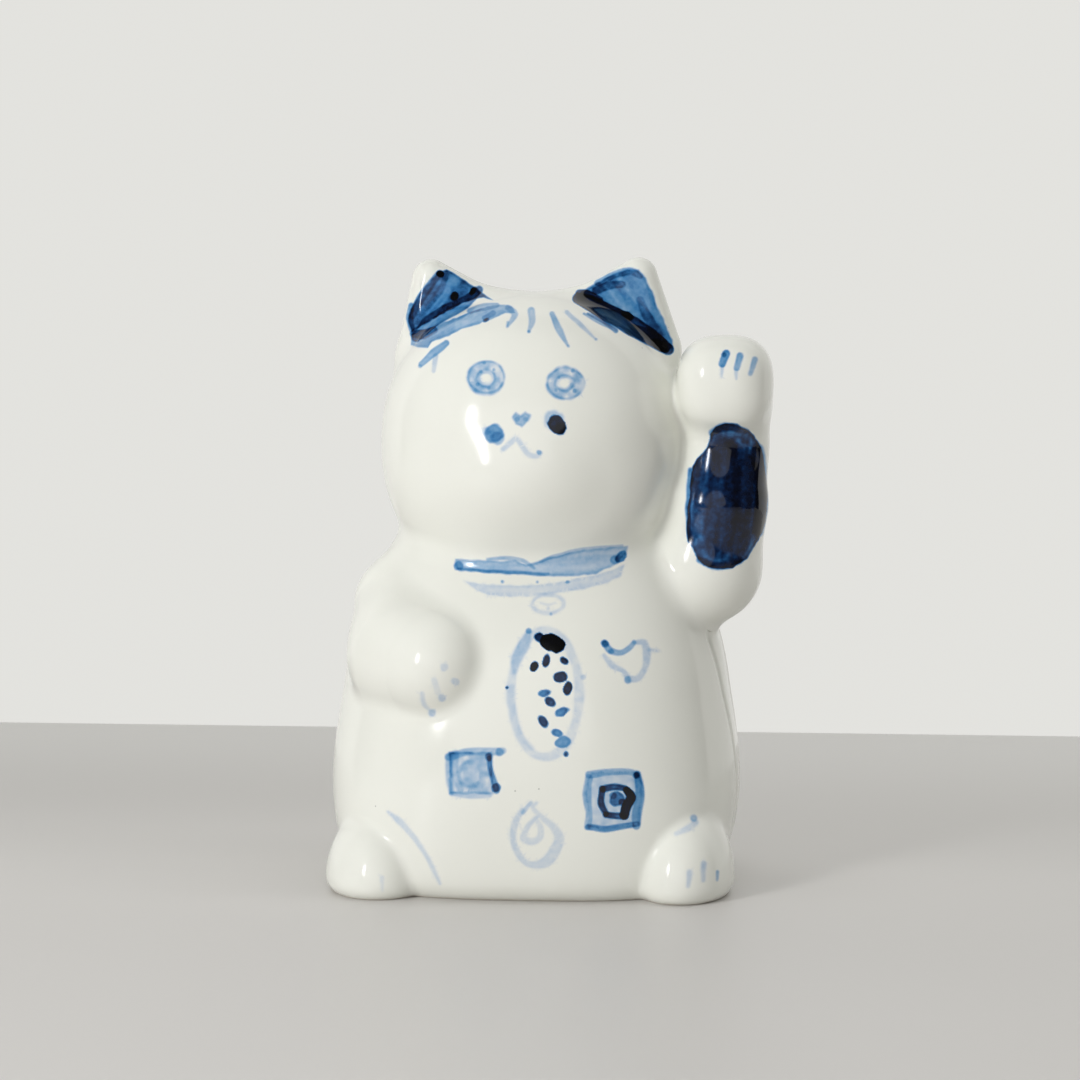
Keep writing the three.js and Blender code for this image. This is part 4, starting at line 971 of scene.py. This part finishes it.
def bisque_material():
    m = bpy.data.materials.new("unglazed_clay")
    m.use_nodes = True
    nt = m.node_tree
    p = nt.nodes["Principled BSDF"]
    L = nt.links.new
    co = nt.nodes.new("ShaderNodeTexCoord").outputs["Object"]
    n1 = nt.nodes.new("ShaderNodeTexNoise")
    n1.inputs["Scale"].default_value = 480
    n1.inputs["Detail"].default_value = 5
    n2 = nt.nodes.new("ShaderNodeTexNoise")
    n2.inputs["Scale"].default_value = 70
    n2.inputs["Detail"].default_value = 3
    for n in (n1, n2):
        L(co, n.inputs["Vector"])
    add = nt.nodes.new("ShaderNodeMath")
    add.operation = "MULTIPLY_ADD"
    add.inputs[1].default_value = 0.5
    L(n1.outputs[0], add.inputs[0])
    half = nt.nodes.new("ShaderNodeMath")
    half.operation = "MULTIPLY"
    half.inputs[1].default_value = 0.5
    L(n2.outputs[0], half.inputs[0])
    L(half.outputs[0], add.inputs[2])
    ramp = nt.nodes.new("ShaderNodeValToRGB")
    ramp.color_ramp.elements[0].position = 0.3
    ramp.color_ramp.elements[0].color = (0.53, 0.48, 0.40, 1)
    ramp.color_ramp.elements[1].position = 0.7
    ramp.color_ramp.elements[1].color = (0.74, 0.70, 0.62, 1)
    L(add.outputs[0], ramp.inputs[0])
    L(ramp.outputs[0], p.inputs["Base Color"])
    p.inputs["Roughness"].default_value = 0.82
    b = nt.nodes.new("ShaderNodeBump")
    b.inputs["Distance"].default_value = 0.00012
    b.inputs["Strength"].default_value = 0.8
    L(add.outputs[0], b.inputs["Height"])
    L(b.outputs[0], p.inputs["Normal"])
    return m


GLOSS = 0.06
GLAZE, BISQUE = glaze_material(), bisque_material()
for name, ob in PIECES.items():
    ob.data.materials.append(BISQUE if name == "base_slab" else GLAZE)

# ----------------------------------------------------------------- the studio
MM = 0.001
aim = (AIM + SHIFT) * MM
eye = (EYE + SHIFT) * MM


def stage_mesh(name, V, F, material):
    me = bpy.data.meshes.new(name)
    me.from_pydata([tuple(v) for v in V], [], F)
    me.update()
    ob = bpy.data.objects.new(name, me)
    bpy.context.scene.collection.objects.link(ob)
    me.materials.append(material)
    for f in me.polygons:
        f.use_smooth = True
    return ob


def plain(name, colour, rough):
    m = bpy.data.materials.new(name)
    m.use_nodes = True
    p = m.node_tree.nodes["Principled BSDF"]
    p.inputs["Base Color"].default_value = (*colour, 1)
    p.inputs["Roughness"].default_value = rough
    return m


# the table top runs back to its far edge, where the pale wall behind takes over
floor_mat = plain("table_and_wall", TABLE_COLOUR, 0.42)
nt = floor_mat.node_tree
geo = nt.nodes.new("ShaderNodeNewGeometry")
split = nt.nodes.new("ShaderNodeSeparateXYZ")
nt.links.new(geo.outputs["Position"], split.inputs[0])
ramp = nt.nodes.new("ShaderNodeMapRange")
ramp.interpolation_type = "SMOOTHSTEP"
ramp.inputs["From Min"].default_value = TABLE_EDGE - 0.13
ramp.inputs["From Max"].default_value = TABLE_EDGE + 0.008
nt.links.new(split.outputs[1], ramp.inputs["Value"])
blend = nt.nodes.new("ShaderNodeMix")
blend.data_type = "RGBA"
nt.links.new(ramp.outputs[0], blend.inputs[0])
grain = nt.nodes.new("ShaderNodeTexNoise")
grain.inputs["Scale"].default_value = 9.0
nt.links.new(geo.outputs["Position"], grain.inputs["Vector"])
top = nt.nodes.new("ShaderNodeValToRGB")
top.color_ramp.elements[0].color = tuple(c * 0.985 for c in TABLE_COLOUR) + (1,)
top.color_ramp.elements[1].color = tuple(c * 1.015 for c in TABLE_COLOUR) + (1,)
nt.links.new(grain.outputs[0], top.inputs[0])
nt.links.new(top.outputs[0], blend.inputs[6])
blend.inputs[7].default_value = (*WALL_COLOUR, 1)
nt.links.new(blend.outputs[2], nt.nodes["Principled BSDF"].inputs["Base Color"])
glow = nt.nodes["Principled BSDF"]
glow.inputs["Emission Color"].default_value = (1.0, 0.995, 0.975, 1)
lift = nt.nodes.new("ShaderNodeMath")
lift.operation = "MULTIPLY"
lift.inputs[1].default_value = WALL_GLOW
nt.links.new(ramp.outputs[0], lift.inputs[0])
nt.links.new(lift.outputs[0], glow.inputs["Emission Strength"])
W, R = 3.0, 0.007
prof = [(-2.2, 0.0), (TABLE_EDGE - 0.2, 0.0), (TABLE_EDGE, 0.0), (TABLE_EDGE, -0.03)]
V = [(x, y, z) for y, z in prof for x in (-W, W)]
F = [(2 * i, 2 * i + 1, 2 * i + 3, 2 * i + 2) for i in range(len(prof) - 1)]
stage_mesh("table", V, F, floor_mat)
# the wall stands far enough back that a look from behind the object isn't blocked
wall_mat = plain("far_wall", (0.02, 0.02, 0.02), 1.0)
wall_mat.node_tree.nodes["Principled BSDF"].inputs["Emission Color"].default_value = (1.0, 0.995, 0.955, 1)
wall_mat.node_tree.nodes["Principled BSDF"].inputs["Emission Strength"].default_value = 0.755
stage_mesh("far_wall", [(-4, 1.4, -1.5), (4, 1.4, -1.5), (4, 1.4, 3.0), (-4, 1.4, 3.0)], [(0, 1, 2, 3)], wall_mat)


def look(ob, at):
    from mathutils import Vector
    d = Vector(at) - ob.location
    ob.rotation_mode = "QUATERNION"
    ob.rotation_quaternion = d.to_track_quat("-Z", "Y")


def area(name, at, size, power, colour=(1, 1, 1), target=None, spread=180):
    l = bpy.data.lights.new(name, "AREA")
    l.shape, l.size, l.size_y = "ELLIPSE", size[0], size[1]
    l.energy, l.color, l.spread = power, colour, math.radians(spread)
    ob = bpy.data.objects.new(name, l)
    bpy.context.scene.collection.objects.link(ob)
    ob.location = tuple(at)
    look(ob, aim if target is None else target)
    return ob


def toward(r, u, b, far):
    d = r * RIGHT + u * UP + b * BACK
    return aim + d / np.linalg.norm(d) * far


for args in LIGHTS:
    lamp = area(*args)
    lamp.visible_camera = False
    if lamp.name in ("wall_wash", "key_body"):
        lamp.visible_glossy = False
for name, at, size, shade in CARDS:
    m = plain(name, (shade,) * 3, 0.9)
    c = stage_mesh(name, [(-size[0] / 2, -size[1] / 2, 0), (size[0] / 2, -size[1] / 2, 0), (size[0] / 2, size[1] / 2, 0), (-size[0] / 2, size[1] / 2, 0)], [(0, 1, 2, 3)], m)
    c.location = tuple(at)
    look(c, aim)
    c.visible_camera = False
    c.visible_shadow = False
    c.visible_diffuse = False

world = bpy.data.worlds.new("studio")
bpy.context.scene.world = world
world.use_nodes = True
world.node_tree.nodes["Background"].inputs[0].default_value = (*AMBIENT, 1)
world.node_tree.nodes["Background"].inputs[1].default_value = 1.0
world.cycles_visibility.glossy = False

cam = bpy.data.objects.new("camera", bpy.data.cameras.new("camera"))
bpy.context.scene.collection.objects.link(cam)
cam.location = tuple(eye)
look(cam, aim)
cam.data.sensor_width = 36.0
cam.data.lens = 36.0 * EYE_FAR / (1080 * 0.2067)
cam.data.clip_start, cam.data.clip_end = 0.01, 20.0
cam.data.dof.use_dof = False
bpy.context.scene.camera = cam
bpy.context.scene.view_settings.view_transform = "Standard"
bpy.context.scene.view_settings.look = "None"
